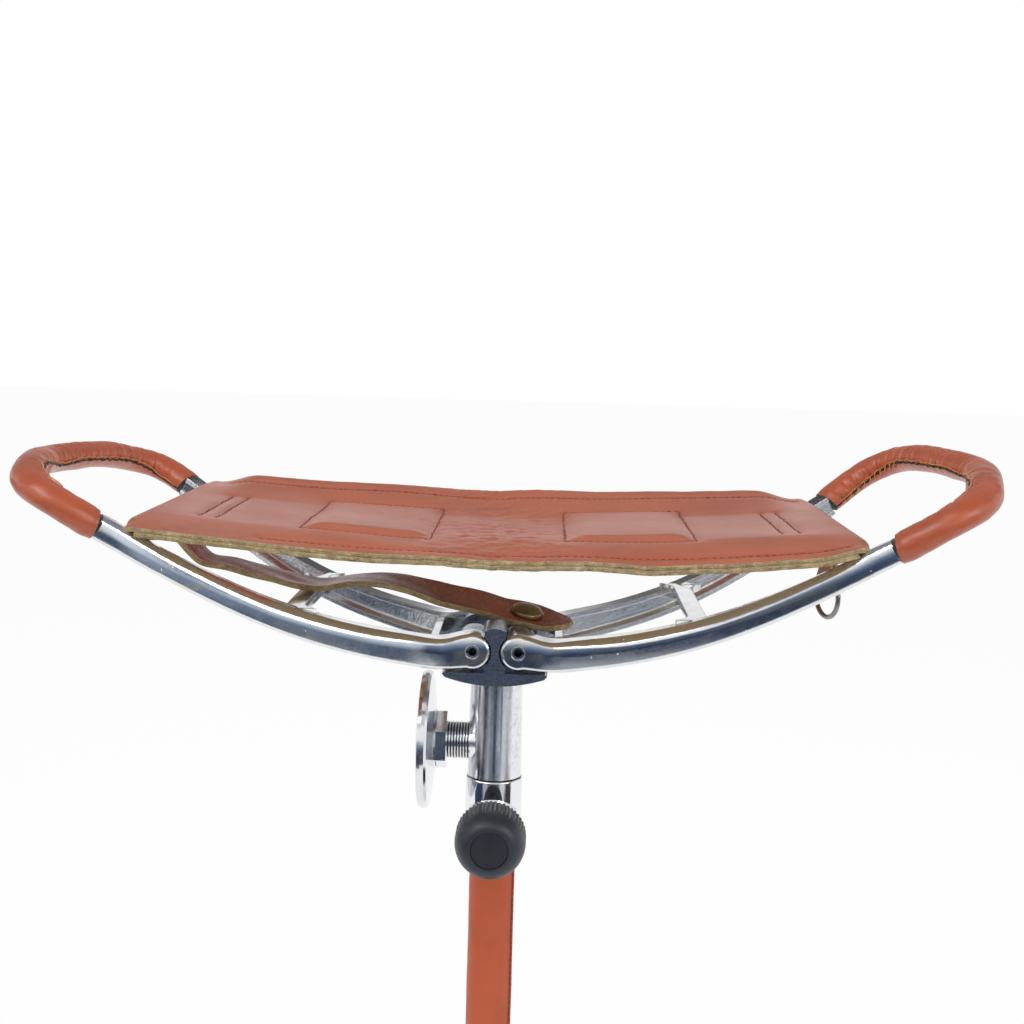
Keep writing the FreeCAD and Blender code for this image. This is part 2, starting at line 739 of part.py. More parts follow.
def strap_stud_post():
    """The rivet through the strap that holds cap and socket together."""
    low, axis = strap_frame()
    length = STRAP_THICK + 2 * STUD_SEAT_GAP
    return Part.makeCylinder(STUD_POST_R, length, low - axis * STUD_SEAT_GAP, axis)


def ring_frame():
    turn = math.radians(RING_TURN_DEG)
    along = Vector(-math.sin(turn), math.cos(turn), 0)
    loop_bottom = BAR_REL_Z - BAR_R - SOFT_GAP - LEATHER_THICK
    eye = point(RING_X, 0, loop_bottom - TAB_DROP)
    return eye, along


def carry_ring():
    eye, along = ring_frame()
    centre = eye - Vector(0, 0, RING_R)
    return Part.makeTorus(RING_R, RING_WIRE_R, centre, along.cross(Vector(0, 0, 1)))


def ring_tab():
    """A doubled leather tab sewn under the right bar's loop, with the ring through its eye."""
    eye, along = ring_frame()
    turn = Part.makeBox(TAB_THICK, TAB_WIDTH, TAB_DROP, Vector(-TAB_THICK / 2, -TAB_WIDTH / 2, 0))
    turn.rotate(Vector(0, 0, 0), Vector(0, 0, 1), RING_TURN_DEG)
    turn.translate(eye)
    roll = Part.makeCylinder(
        TAB_EYE_R, TAB_WIDTH, eye - along * (TAB_WIDTH / 2), along
    )
    loop_r = BAR_R + SOFT_GAP + LEATHER_THICK
    tab = turn.fuse(roll).cut(rod_y(loop_r + 0.02, BAR_X, BAR_REL_Z, -TAB_WIDTH, TAB_WIDTH))
    half = TAB_WIDTH / 2 + 0.5
    narrow, wide = RING_WIRE_R + SOFT_GAP, TAB_EYE_R - 0.8
    ways = [Part.makeCone(narrow, wide, half, eye, along * side) for side in (-1, 1)]
    return tab.cut(ways).removeSplitter()


def inner_tube():
    top, bottom = PIVOT_Z + INNER_TUBE_TOP, PIVOT_Z + INNER_TUBE_BOTTOM
    return disc_z(INNER_TUBE_R, bottom, top).cut(
        disc_z(INNER_TUBE_R - INNER_TUBE_WALL, bottom - 1, top + 1)
    )


def tube_end_bush():
    """The plastic bush on the inner tube's lower end, which slides in the outer tube."""
    top = PIVOT_Z + INNER_TUBE_BOTTOM
    flange = disc_z(OUTER_TUBE_BORE_R - FIT, top - BUSH_LIP, top)
    plug = disc_z(INNER_TUBE_R - INNER_TUBE_WALL, top, top + BUSH_LENGTH - BUSH_LIP)
    way = disc_z(INNER_TUBE_R - 2 * INNER_TUBE_WALL, top - BUSH_LIP - 1, top + BUSH_LENGTH)
    return flange.fuse(plug).cut(way).removeSplitter()


def guide_bush():
    """The bush in the outer tube's mouth that guides the inner tube."""
    top = PIVOT_Z + OUTER_TUBE_TOP
    body = disc_z(OUTER_TUBE_BORE_R, top - BUSH_LENGTH, top)
    lip = disc_z(OUTER_TUBE_R, top, top + BUSH_LIP)
    way = disc_z(INNER_TUBE_R + FIT, top - BUSH_LENGTH - 1, top + BUSH_LIP + 1)
    screw = rod_y(CLAMP_SCREW_R + FIT, 0, KNOB_Z, -OUTER_TUBE_R - 1, 0)
    return body.fuse(lip).cut([way, screw]).removeSplitter()


def outer_tube():
    bottom = FERRULE_HEIGHT + FERRULE_GAP + FOOT_COLLAR_HEIGHT
    top = PIVOT_Z + OUTER_TUBE_TOP
    shell = disc_z(OUTER_TUBE_R, bottom, top)
    screw = rod_y(CLAMP_SCREW_R + FIT, 0, KNOB_Z, -OUTER_TUBE_R - 1, 0)
    return shell.cut([disc_z(OUTER_TUBE_BORE_R, bottom - 1, top + 1), screw])


def clamp_collar():
    top, bottom = PIVOT_Z + COLLAR_TOP, PIVOT_Z + COLLAR_BOTTOM
    ring = disc_z(COLLAR_R, bottom, top)
    ring = ring.makeFillet(1.0, [e for e in ring.Edges if e.BoundBox.ZLength < 0.01])
    boss_end = KNOB_FRONT_Y - KNOB_DEPTH - CLAMP_BOSS_GAP
    boss = Part.makeCone(
        CLAMP_BOSS_ROOT_R, CLAMP_BOSS_R, boss_end - CLAMP_BOSS_ROOT_Y,
        point(0, -CLAMP_BOSS_ROOT_Y, KNOB_Z), Vector(0, -1, 0),
    )
    body = ring.fuse(boss)
    seat = disc_z(OUTER_TUBE_R, bottom - 1, PIVOT_Z + OUTER_TUBE_TOP + BUSH_LIP)
    mouth = disc_z(INNER_TUBE_R + 0.25, bottom, top + 1)
    screw = rod_y(CLAMP_SCREW_R + FIT, 0, KNOB_Z, -boss_end - 1, 0)
    return body.cut([seat, mouth, screw]).removeSplitter()


def shaft_leather():
    top = PIVOT_Z + COLLAR_BOTTOM - SOFT_GAP
    return disc_z(LEATHER_R, LEATHER_BOTTOM_Z, top).cut(
        disc_z(OUTER_TUBE_R + FIT, LEATHER_BOTTOM_Z - 1, top + 1)
    )


def clamp_screw():
    tip_y = -(INNER_TUBE_R + 0.15)
    head_y = -(KNOB_FRONT_Y - KNOB_SCREW_COVER)
    return rod_y(CLAMP_SCREW_R, 0, KNOB_Z, head_y, tip_y)


def knob_body():
    """A fluted hand knob with a rounded front shoulder and a round pocket for its cap."""
    back, front = -(KNOB_FRONT_Y - KNOB_DEPTH), -KNOB_FRONT_Y
    rim = []
    for i in range(KNOB_FLUTES):
        for share, radius in ((0.0, KNOB_R), (0.35, KNOB_R), (0.68, KNOB_R - KNOB_FLUTE_DEPTH)):
            angle = 2 * math.pi * (i + share) / KNOB_FLUTES
            rim.append(point(radius * math.cos(angle), front, KNOB_Z + radius * math.sin(angle)))
    fluted = polygon_face(rim).extrude(Vector(0, back - front, 0))
    reach = KNOB_R + 0.01
    shoulder_y = front + KNOB_SHOULDER_DEPTH
    profile = [point(0, back, KNOB_Z), point(reach, back, KNOB_Z), point(reach, shoulder_y, KNOB_Z)]
    for i in range(1, KNOB_SHOULDER_STEPS):
        turn = math.pi / 2 * i / KNOB_SHOULDER_STEPS
        x = KNOB_FACE_R + (reach - KNOB_FACE_R) * math.cos(turn)
        profile.append(point(x, shoulder_y - KNOB_SHOULDER_DEPTH * math.sin(turn), KNOB_Z))
    edges = [Part.LineSegment(a, b).toShape() for a, b in zip(profile[:2], profile[1:3])]
    curve = Part.BSplineCurve()
    curve.interpolate(profile[2:] + [point(KNOB_FACE_R, front, KNOB_Z)])
    edges.append(curve.toShape())
    edges.append(Part.LineSegment(point(KNOB_FACE_R, front, KNOB_Z), point(0, front, KNOB_Z)).toShape())
    edges.append(Part.LineSegment(point(0, front, KNOB_Z), profile[0]).toShape())
    outline = Part.Face(Part.Wire(edges))
    knob = fluted.common(outline.revolve(profile[0], Vector(0, 1, 0), 360))
    pocket = rod_y(KNOB_CAP_R + FIT, 0, KNOB_Z, front - 1, front + KNOB_CAP_THICK)
    hole = rod_y(CLAMP_SCREW_R, 0, KNOB_Z, -(KNOB_FRONT_Y - KNOB_SCREW_COVER), back + 1)
    return knob.cut([pocket, hole])


def knob_cap():
    start = -KNOB_FRONT_Y + 0.35
    end = -KNOB_FRONT_Y + KNOB_CAP_THICK
    cap = rod_y(KNOB_CAP_R, 0, KNOB_Z, start, end)
    edges = [e for e in cap.Edges if abs(e.BoundBox.YMax - start) < 0.01]
    return cap.makeFillet(0.5, edges)


def ground_plate():
    """A dished disc with a hexagonal boss, screwed on the stud by a blind bore."""
    face = PLATE_FACE_X
    back = face - PLATE_THICK
    hex_end = HEX_START_X + BOSS_SHOULDER_LENGTH + HEX_OVERLAP
    profile = [
        (face - PLATE_DISH, 0),
        (face - PLATE_DISH, PLATE_FLAT_R),
        (face - PLATE_DISH * 0.45, PLATE_RISE_R),
        (face, PLATE_R - PLATE_RIM_EASE),
        (face - 0.25 * PLATE_RIM_EASE, PLATE_R - 0.3 * PLATE_RIM_EASE),
        (face - PLATE_RIM_EASE, PLATE_R),
        (back + 0.5 * PLATE_RIM_EASE, PLATE_R),
        (back, PLATE_R - 0.5 * PLATE_RIM_EASE),
        (back - PLATE_DISH * 0.5, PLATE_RISE_R - 1),
        (back - PLATE_DISH, BOSS_SHOULDER_R + 2),
        (back - PLATE_DISH - 1, BOSS_SHOULDER_R),
        (hex_end - 1.5, BOSS_SHOULDER_R),
        (hex_end - 1.5, 0),
    ]
    disc = turned([point(-x, r, STUD_Z) for x, r in profile], point(0, 0, STUD_Z), Vector(1, 0, 0))
    hexagon = []
    for i in range(6):
        angle = math.radians(30 + 60 * i)
        reach = HEX_ACROSS_CORNERS / 2
        hexagon.append(
            point(-HEX_START_X, reach * math.cos(angle), STUD_Z + reach * math.sin(angle))
        )
    boss = polygon_face(hexagon).extrude(Vector(HEX_START_X - hex_end, 0, 0))
    bore = Part.makeCylinder(
        THREAD_R + FIT, STUD_TIP_X + 1 - HEX_START_X + 1, point(-HEX_START_X + 1, 0, STUD_Z),
        Vector(-1, 0, 0),
    )
    return disc.fuse(boss).cut(bore).removeSplitter()


def foot_casting():
    """The alloy foot: plug in the tube, collar, and a nose threaded like the plate's stud."""
    collar_low = FERRULE_HEIGHT + FERRULE_GAP
    collar_top = collar_low + FOOT_COLLAR_HEIGHT
    nose_low = collar_low - FOOT_NOSE_LENGTH
    plug = disc_z(OUTER_TUBE_BORE_R - 0.02, collar_top, collar_top + FOOT_PLUG_LENGTH)
    collar = disc_z(FOOT_COLLAR_R, collar_low, collar_top)
    collar = collar.makeFillet(1.2, [e for e in collar.Edges if e.BoundBox.ZLength < 0.01])
    pairs = threaded_profile(FOOT_NOSE_LENGTH + 1, 0)
    profile = [Vector(r, 0, collar_low + 1 - x) for x, r in pairs]
    profile += [Vector(0, 0, nose_low), Vector(0, 0, collar_low + 1)]
    nose = turned(profile, Vector(0, 0, 0), Vector(0, 0, 1))
    socket = disc_z(SPIKE_R, nose_low - 1, collar_top + SPIKE_SOCKET)
    return plug.fuse([collar, nose]).removeSplitter().cut(socket)


def ground_spike():
    top = FERRULE_HEIGHT + FERRULE_GAP + FOOT_COLLAR_HEIGHT + SPIKE_SOCKET
    shoulder = SPIKE_TIP_Z + SPIKE_CONE
    tip = Part.makeCone(SPIKE_TIP_R, SPIKE_R, SPIKE_CONE, Vector(0, 0, SPIKE_TIP_Z))
    return disc_z(SPIKE_R, shoulder, top).fuse(tip).removeSplitter()


def rubber_ferrule():
    """A bell-shaped rubber ferrule pushed over the nose and the spike."""
    profile = [
        (0, 0),
        (FERRULE_R - 1.5, 0),
        (FERRULE_R, 1.5),
        (FERRULE_R, 6.5),
        (FERRULE_R - 1.4, 8.0),
        (FERRULE_TOP_R + 1.6, 17.0),
        (FERRULE_TOP_R + 0.4, 26.0),
        (FERRULE_TOP_R, FERRULE_HEIGHT - 5),
        (FERRULE_TOP_R + 1.0, FERRULE_HEIGHT - 4),
        (FERRULE_TOP_R + 1.0, FERRULE_HEIGHT - 1),
        (FERRULE_TOP_R, FERRULE_HEIGHT),
        (0, FERRULE_HEIGHT),
    ]
    body = turned([Vector(r, 0, z) for r, z in profile], Vector(0, 0, 0), Vector(0, 0, 1))
    nose_low = FERRULE_HEIGHT + FERRULE_GAP - FOOT_NOSE_LENGTH
    cavity = disc_z(THREAD_R + 0.02, nose_low - 1, FERRULE_HEIGHT + 1)
    well = disc_z(SPIKE_R + 0.4, FERRULE_BASE, nose_low)
    return body.cut([cavity, well])


def seat_bar():
    return rod_y(BAR_R, BAR_X, BAR_REL_Z, -BAR_HALF_Y, BAR_HALF_Y)


def build():
    panel = seat_panel()
    bar = seat_bar()
    middle_half = FOLD_SEAM_HALF - SOFT_GAP / 2
    nodes = {
        "rubber_ferrule": rubber_ferrule(),
        "foot_casting": foot_casting(),
        "ground_spike": ground_spike(),
        "outer_tube": outer_tube(),
        "shaft_leather": shaft_leather(),
        "guide_bush": guide_bush(),
        "clamp_collar": clamp_collar(),
        "clamp_screw": clamp_screw(),
        "knob_body": knob_body(),
        "knob_cap": knob_cap(),
        "inner_tube": inner_tube(),
        "tube_end_bush": tube_end_bush(),
        "hub_casting": hub_casting(),
        "hinge_pins": hinge_pins(),
        "ground_plate": ground_plate(),
        "right_bow": bow(1),
        "left_bow": mirrored(bow(-1)),
        "right_grip_padding": grip_padding(1),
        "left_grip_padding": mirrored(grip_padding(-1)),
        "right_grip_cover": grip_cover(1),
        "left_grip_cover": mirrored(grip_cover(-1)),
        "right_seat_bar": bar,
        "left_seat_bar": mirrored(bar),
        "right_seat_panel": panel,
        "left_seat_panel": mirrored(panel),
        "middle_seat_panel": sling_band(-middle_half, middle_half, 0, SLING_THICK, SLING_HALF_Y),
        "right_seat_flap": seat_flap(FLAP_RIGHT_END),
        "left_seat_flap": mirrored(seat_flap(FLAP_LEFT_END)),
        "retaining_strap": strap_with_holes(retaining_strap()),
        "strap_stud_cap": strap_stud_cap(),
        "strap_stud_post": strap_stud_post(),
        "strap_stud_socket": strap_stud_socket(),
        "ring_tab": ring_tab(),
        "carry_ring": carry_ring(),
    }
    for name, shape in nodes.items():
        bad = "" if shape.isValid() else " NOT VALID"
        box = shape.BoundBox
        print(
            f"{name}: solids {len(shape.Solids)}, faces {len(shape.Faces)}, "
            f"volume {shape.Volume / 1000:.2f} cm3, x {box.XMin:.1f} to {box.XMax:.1f}, "
            f"y {box.YMin:.1f} to {box.YMax:.1f}, z {box.ZMin:.1f} to {box.ZMax:.1f}{bad}"
        )
        shape.exportStep(f"parts/{name}.step")


build()
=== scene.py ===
import math

import bpy
import numpy as np
from mathutils import Matrix, Vector


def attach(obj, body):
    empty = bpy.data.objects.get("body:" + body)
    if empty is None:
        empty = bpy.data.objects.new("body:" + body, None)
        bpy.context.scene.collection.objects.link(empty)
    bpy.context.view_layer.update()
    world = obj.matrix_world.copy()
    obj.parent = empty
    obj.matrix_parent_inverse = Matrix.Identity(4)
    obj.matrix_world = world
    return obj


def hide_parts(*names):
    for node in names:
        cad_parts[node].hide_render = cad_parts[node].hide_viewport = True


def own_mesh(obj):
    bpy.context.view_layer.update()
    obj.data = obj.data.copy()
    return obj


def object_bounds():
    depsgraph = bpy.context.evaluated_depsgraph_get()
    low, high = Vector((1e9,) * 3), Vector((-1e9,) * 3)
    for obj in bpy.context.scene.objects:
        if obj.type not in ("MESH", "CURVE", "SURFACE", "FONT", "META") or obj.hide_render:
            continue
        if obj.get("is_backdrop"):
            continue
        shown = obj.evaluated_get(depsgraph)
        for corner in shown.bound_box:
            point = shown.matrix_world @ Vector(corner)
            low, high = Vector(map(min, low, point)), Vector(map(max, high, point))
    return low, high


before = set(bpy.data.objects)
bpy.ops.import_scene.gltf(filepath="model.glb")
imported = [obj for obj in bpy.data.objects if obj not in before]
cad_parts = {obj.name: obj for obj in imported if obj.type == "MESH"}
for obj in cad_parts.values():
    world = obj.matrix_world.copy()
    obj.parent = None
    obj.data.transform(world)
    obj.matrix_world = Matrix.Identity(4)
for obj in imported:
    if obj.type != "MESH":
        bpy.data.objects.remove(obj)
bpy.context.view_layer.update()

# Lengths are millimetres, and heights are counted from the pivot pins, as in the part's source.
MM = 0.001
PIVOT_Z = 580.0
BAR_X, BAR_Z, BAR_R = 170.0, 61.5, 4.0
LOOP_R = 6.6
SLING_HALF_X, SLING_HALF_Y, SLING_SAG = 173.0, 90.0, 9.0
SEAM_X = 32.0
LEATHER = 2.3


def to_frame(points):
    p = np.asarray(points, float).reshape(-1, 3).copy()
    p[:, 2] += PIVOT_Z
    return p * MM


def unit(v):
    v = np.asarray(v, float)
    return v / np.maximum(np.linalg.norm(v, axis=-1, keepdims=True), 1e-12)


def waves(x, y, wavelength, seed, count=9):
    """Smooth random ripples of about one wavelength, from -1 to 1."""
    draw = np.random.default_rng(seed)
    total = 0.0
    for _ in range(count):
        angle, phase = draw.uniform(0, 2 * math.pi, 2)
        k = 2 * math.pi / (wavelength * draw.uniform(0.65, 1.6))
        total = total + np.sin((x * math.cos(angle) + y * math.sin(angle)) * k + phase)
    return total / math.sqrt(2.0 * count)


# Meshes


def add_object(name, data):
    obj = bpy.data.objects.new(name, data)
    bpy.context.scene.collection.objects.link(obj)
    return obj


def new_mesh(name, points, faces, materials, face_mats=None, sharp=45.0, attributes=None):
    mesh = bpy.data.meshes.new(name)
    mesh.from_pydata(to_frame(points).tolist(), [], [list(map(int, f)) for f in faces])
    for m in materials:
        mesh.materials.append(m)
    if face_mats is not None:
        mesh.polygons.foreach_set("material_index", np.asarray(face_mats, np.int32))
    for key, values in (attributes or {}).items():
        layer = mesh.attributes.new(key, "FLOAT", "POINT")
        layer.data.foreach_set("value", np.asarray(values, np.float32))
    mesh.shade_smooth()
    mesh.set_sharp_from_angle(angle=math.radians(sharp))
    mesh.update()
    return add_object(name, mesh)


def settle(obj, body, slot, *replaced):
    """Fixes a piece to a body and hides the CAD nodes it stands for; slot is not used."""
    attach(obj, body)
    if replaced:
        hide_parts(*replaced)
    return obj


def quads_of(ids):
    """Quads between the rows of a table of point numbers."""
    return np.stack([ids[:-1, :-1], ids[1:, :-1], ids[1:, 1:], ids[:-1, 1:]], -1).reshape(-1, 4)


def lattice(columns, rows):
    """Quads of a grid whose points run row by row, columns points to a row."""
    return quads_of(np.arange(columns * rows).reshape(rows, columns))


def vertex_normals(points, quads):
    a, b, c, d = (points[quads[:, k]] for k in range(4))
    n = np.cross(c - a, d - b)
    total = np.zeros_like(points)
    for k in range(4):
        np.add.at(total, quads[:, k], n)
    return unit(total)


def facing_out(points, quads, centre):
    """The quads, turned over where they face the centre."""
    outward = np.sum(vertex_normals(points, quads) * (points - centre), axis=1)
    return quads[:, ::-1] if np.mean(outward) < 0 else quads


def thicken(points, quads, thickness, rows=4, bulge=0.25, rough=0.0, seed=1, keep=None):
    """Closes an open sheet: its points are the outer face, the inner face lies thickness below.
    The rim bulges and is roughened, but stays flat at the points that keep picks out.
    Returns points, faces and each face's kind: 0 outer, 1 rim, 2 inner."""
    draw = np.random.default_rng(seed)
    normals = vertex_normals(points, quads)
    inner = points - normals * thickness
    n = len(points)
    faces = [list(q) for q in quads] + [[q[3] + n, q[2] + n, q[1] + n, q[0] + n] for q in quads]
    kinds = [0] * len(quads) + [2] * len(quads)
    edges = dict.fromkeys((int(q[k]), int(q[(k + 1) % 4])) for q in quads for k in range(4))
    rim = [(a, b) for a, b in edges if (b, a) not in edges]
    outward = {}
    for a, b in rim:
        out = np.cross(points[b] - points[a], normals[a])
        for v in (a, b):
            outward[v] = outward.get(v, 0) + out
    strip, extra = {}, []
    for v, out in outward.items():
        out = unit(out)
        flat = keep is not None and keep(points[v])
        ids = [v]
        for r in range(1, rows):
            share = r / rows
            p = points[v] * (1 - share) + inner[v] * share
            if not flat:
                p = p + out * (bulge * math.sin(math.pi * share) + rough * draw.normal())
                p = p + normals[v] * rough * 0.3 * draw.normal()
            ids.append(2 * n + len(extra))
            extra.append(p)
        strip[v] = ids + [v + n]
    for a, b in rim:
        for r in range(rows):
            faces.append([strip[a][r + 1], strip[b][r + 1], strip[b][r], strip[a][r]])
            kinds.append(1)
    return np.concatenate([points, inner, np.array(extra).reshape(-1, 3)]), faces, kinds


def loft(rings):
    """Points and faces of a closed tube through rings of equal length."""
    rings = np.asarray(rings, float)
    n, m = rings.shape[:2]
    i, j = np.meshgrid(np.arange(n - 1), np.arange(m), indexing="ij")
    a = i * m + j
    b = i * m + (j + 1) % m
    faces = np.stack([a, b, b + m, a + m], -1).reshape(-1, 4).tolist()
    start, end = n * m, n * m + 1
    for k in range(m):
        faces.append([start, (k + 1) % m, k])
        faces.append([end, (n - 1) * m + k, (n - 1) * m + (k + 1) % m])
    return np.concatenate([rings.reshape(-1, 3), [rings[0].mean(0), rings[-1].mean(0)]]), faces


def tube(path, radius, sides=8):
    """A round thread through the given points; radius is one number or one for each point."""
    path = np.asarray(path, float)
    radius = np.broadcast_to(radius, (len(path),))
    along = unit(np.gradient(path, axis=0))
    side = unit(np.cross(along, [0.13, 0.24, 0.96]))
    up = np.cross(along, side)
    angles = np.linspace(0, 2 * math.pi, sides, endpoint=False)[None, :, None]
    ring = np.cos(angles) * side[:, None] + np.sin(angles) * up[:, None]
    return loft(path[:, None] + ring * radius[:, None, None])


def merge(parts):
    """Joins (points, faces) pairs into one."""
    points, faces, total = [], [], 0
    for p, f in parts:
        points.append(p)
        faces += [[v + total for v in face] for face in f]
        total += len(p)
    return np.concatenate(points), faces


def spline(points, count):
    """A Catmull-Rom curve through the points, resampled evenly by length."""
    p = np.asarray(points, float)
    ends = np.concatenate([[2 * p[0] - p[1]], p, [2 * p[-1] - p[-2]]])
    t = np.linspace(0, 1, 24, endpoint=False)[:, None]
    out = []
    for i in range(len(p) - 1):
        a, b, c, d = ends[i : i + 4]
        out.append(0.5 * (2 * b + (c - a) * t + (2 * a - 5 * b + 4 * c - d) * t**2
                          + (3 * b - a - 3 * c + d) * t**3))
    return resample(np.concatenate(out + [p[-1:]]), count)


def resample(dense, count):
    steps = np.linalg.norm(np.diff(dense, axis=0), axis=1)
    length = np.concatenate([[0], np.cumsum(steps)])
    wanted = np.linspace(0, length[-1], count)
    return np.stack([np.interp(wanted, length, dense[:, k]) for k in range(dense.shape[1])], 1)


def quadratic_spline(corners, count):
    """The quadratic B-spline whose control points are the corners, resampled evenly."""
    c = np.asarray(corners, float)
    joints = np.concatenate([[c[0]], (c[1:-2] + c[2:-1]) / 2, [c[-1]]])
    out = []
    for i in range(len(joints) - 1):
        t = np.linspace(0, 1, 40, endpoint=False)[:, None]
        a, b, d = joints[i], c[i + 1], joints[i + 1]
        out.append(a * (1 - t) ** 2 + 2 * b * t * (1 - t) + d * t**2)
    return resample(np.concatenate(out + [joints[-1:]]), count)


# Materials


class Shader:
    """A material under construction, with short calls for the nodes that recur."""

    def __init__(self, name, **settings):
        self.mat = bpy.data.materials.new(name)
        self.mat.use_nodes = True
        self.nodes = self.mat.node_tree.nodes
        self.links = self.mat.node_tree.links
        self.bsdf = self.nodes["Principled BSDF"]
        self.coords = self.nodes.new("ShaderNodeTexCoord").outputs["Object"]
        self.height = None
        for key, value in settings.items():
            self.bsdf.inputs[key.replace("_", " ").title()].default_value = value

    def put(self, socket, value):
        if isinstance(value, (int, float)):
            socket.default_value = value
        elif isinstance(value, (tuple, list)):
            needs_alpha = len(value) == 3 and len(socket.default_value) == 4
            socket.default_value = (*value, 1.0) if needs_alpha else value
        else:
            self.links.new(value, socket)

    def scaled(self, factors):
        node = self.nodes.new("ShaderNodeMapping")
        node.inputs["Scale"].default_value = factors
        self.links.new(self.coords, node.inputs["Vector"])
        return node.outputs["Vector"]

    def noise(self, scale, detail=4.0, rough=0.55, distortion=0.0, coords=None):
        node = self.nodes.new("ShaderNodeTexNoise")
        node.inputs["Scale"].default_value = scale
        node.inputs["Detail"].default_value = detail
        node.inputs["Roughness"].default_value = rough
        node.inputs["Distortion"].default_value = distortion
        self.links.new(coords or self.coords, node.inputs["Vector"])
        return node.outputs["Fac"]

    def cells(self, scale):
        node = self.nodes.new("ShaderNodeTexVoronoi")
        node.inputs["Scale"].default_value = scale
        self.links.new(self.coords, node.inputs["Vector"])
        return node.outputs["Distance"]

    def ramp(self, value, stops):
        node = self.nodes.new("ShaderNodeValToRGB")
        elements = node.color_ramp.elements
        while len(elements) < len(stops):
            elements.new(0.5)
        for element, (at, colour) in zip(elements, stops):
            element.position = at
            element.color = (*colour, 1) if isinstance(colour, tuple) else (colour,) * 3 + (1,)
        self.links.new(value, node.inputs["Fac"])
        return node.outputs["Color"]

    def rise(self, value, low, high):
        return self.ramp(value, [(low, 0.0), (high, 1.0)])

    def fall(self, value, low, high):
        return self.ramp(value, [(low, 1.0), (high, 0.0)])

    def mix(self, fac, a, b, mode="MIX"):
        node = self.nodes.new("ShaderNodeMix")
        node.data_type = "RGBA"
        node.blend_type = mode
        self.put(node.inputs["Factor"], fac)
        self.put(node.inputs[6], a)
        self.put(node.inputs[7], b)
        return node.outputs[2]

    def math(self, operation, a, b=0.0, clamp=False):
        node = self.nodes.new("ShaderNodeMath")
        node.operation = operation
        node.use_clamp = clamp
        self.put(node.inputs[0], a)
        self.put(node.inputs[1], b)
        return node.outputs[0]

    def times(self, a, b, clamp=False):
        return self.math("MULTIPLY", a, b, clamp)

    def plus(self, a, b, clamp=False):
        return self.math("ADD", a, b, clamp)

    def inverse(self, a):
        return self.math("SUBTRACT", 1.0, a)

    def attribute(self, name):
        node = self.nodes.new("ShaderNodeAttribute")
        node.attribute_name = name
        return node.outputs["Fac"]

    def axis(self, which):
        node = self.nodes.new("ShaderNodeSeparateXYZ")
        self.links.new(self.coords, node.inputs[0])
        return node.outputs[which]

    def facing(self, which):
        geometry = self.nodes.new("ShaderNodeNewGeometry")
        node = self.nodes.new("ShaderNodeSeparateXYZ")
        self.links.new(geometry.outputs["Normal"], node.inputs[0])
        return node.outputs[which]

    def rounded(self, radius_mm):
        """Start the normals from edges eased by a small radius."""
        node = self.nodes.new("ShaderNodeBevel")
        node.samples = 4
        node.inputs["Radius"].default_value = radius_mm * MM
        self.height = node.outputs["Normal"]

    def bump(self, value, distance_mm, strength=1.0):
        node = self.nodes.new("ShaderNodeBump")
        node.inputs["Strength"].default_value = strength
        node.inputs["Distance"].default_value = distance_mm * MM
        self.links.new(value, node.inputs["Height"])
        if self.height is not None:
            self.links.new(self.height, node.inputs["Normal"])
        self.height = node.outputs["Normal"]

    def done(self, **inputs):
        for key, value in inputs.items():
            self.put(self.bsdf.inputs[key.replace("_", " ").title()], value)
        if self.height is not None:
            self.links.new(self.height, self.bsdf.inputs["Normal"])
        return self.mat


def shade(colour, share):
    return tuple(c * share for c in colour)


def leather_material(name, light, dark, rough=(0.36, 0.52), grain=850.0, wrinkle=0.0, shine=0.28, wax=0.0):
    """Smooth waxed leather: pores, faint creases, scuffs, and painted shade where crease is set, darkening
    the grooves along stitches and seams and at lace holes.
    """
    s = Shader(name)
    patches = s.noise(22.0, 5.0, 0.6)
    colour = s.mix(s.rise(patches, 0.3, 0.72), dark, light)
    streaks = s.noise(14.0, 6.0, 0.65, 0.6, s.scaled((1.0, 5.0, 5.0)))
    colour = s.mix(s.ramp(streaks, [(0.5, 0.0), (0.8, 0.35)]), colour, shade(dark, 0.72))
    fine = s.cells(grain)
    pores = s.ramp(fine, [(0.0, 0.45), (0.28, 1.0)])
    colour = s.mix(0.35, colour, pores, "MULTIPLY")
    # Painted shade: the colour darkens where the crease attribute is set, in the grooves pressed in by
    # stitches, seams and lace holes.
    crease = s.attribute("crease")
    colour = s.mix(s.times(crease, 0.65, True), colour, shade(dark, 0.34))
    scuffs = s.noise(160.0, 6.0, 0.7)
    roughness = s.ramp(scuffs, [(0.25, rough[0]), (0.75, rough[1])])
    s.bump(s.noise(95.0, 5.0, 0.6, 0.4), 0.35, 0.5)
    s.bump(fine, 0.06, 0.55)
    s.bump(s.noise(2600.0, 3.0, 0.6), 0.02, 0.5)
    if wrinkle:
        folds = s.noise(260.0, 3.0, 0.5, 1.6)
        middle = s.math("ABSOLUTE", s.axis(0))
        near = s.fall(s.times(middle, 10.0), 0.15, 0.62)
        s.bump(s.times(folds, near), wrinkle, 0.8)
    s.bsdf.inputs["Specular IOR Level"].default_value = shine
    s.bsdf.inputs["Coat Weight"].default_value = wax
    s.bsdf.inputs["Coat Roughness"].default_value = 0.34
    return s.done(base_color=colour, roughness=roughness)


def suede_material(name, tones, split=None, clump=420.0):
    s = Shader(name)
    fibre = s.noise(1500.0, 6.0, 0.75, 0.8)
    clumps = s.noise(clump, 4.0, 0.6)
    mixed = s.plus(s.times(fibre, 0.65), s.times(clumps, 0.4))
    colour = s.ramp(mixed, [(0.30, tones[0]), (0.5, tones[1]), (0.68, tones[2])])
    if split is not None:
        depth = s.attribute("depth")
        colour = s.mix(s.rise(depth, 0.45, 0.6), colour, s.mix(0.6, colour, split, "MULTIPLY"))
    s.bump(mixed, 0.5, 0.9)
    s.bsdf.inputs["Sheen Weight"].default_value = 0.3
    return s.done(base_color=colour, roughness=0.95)


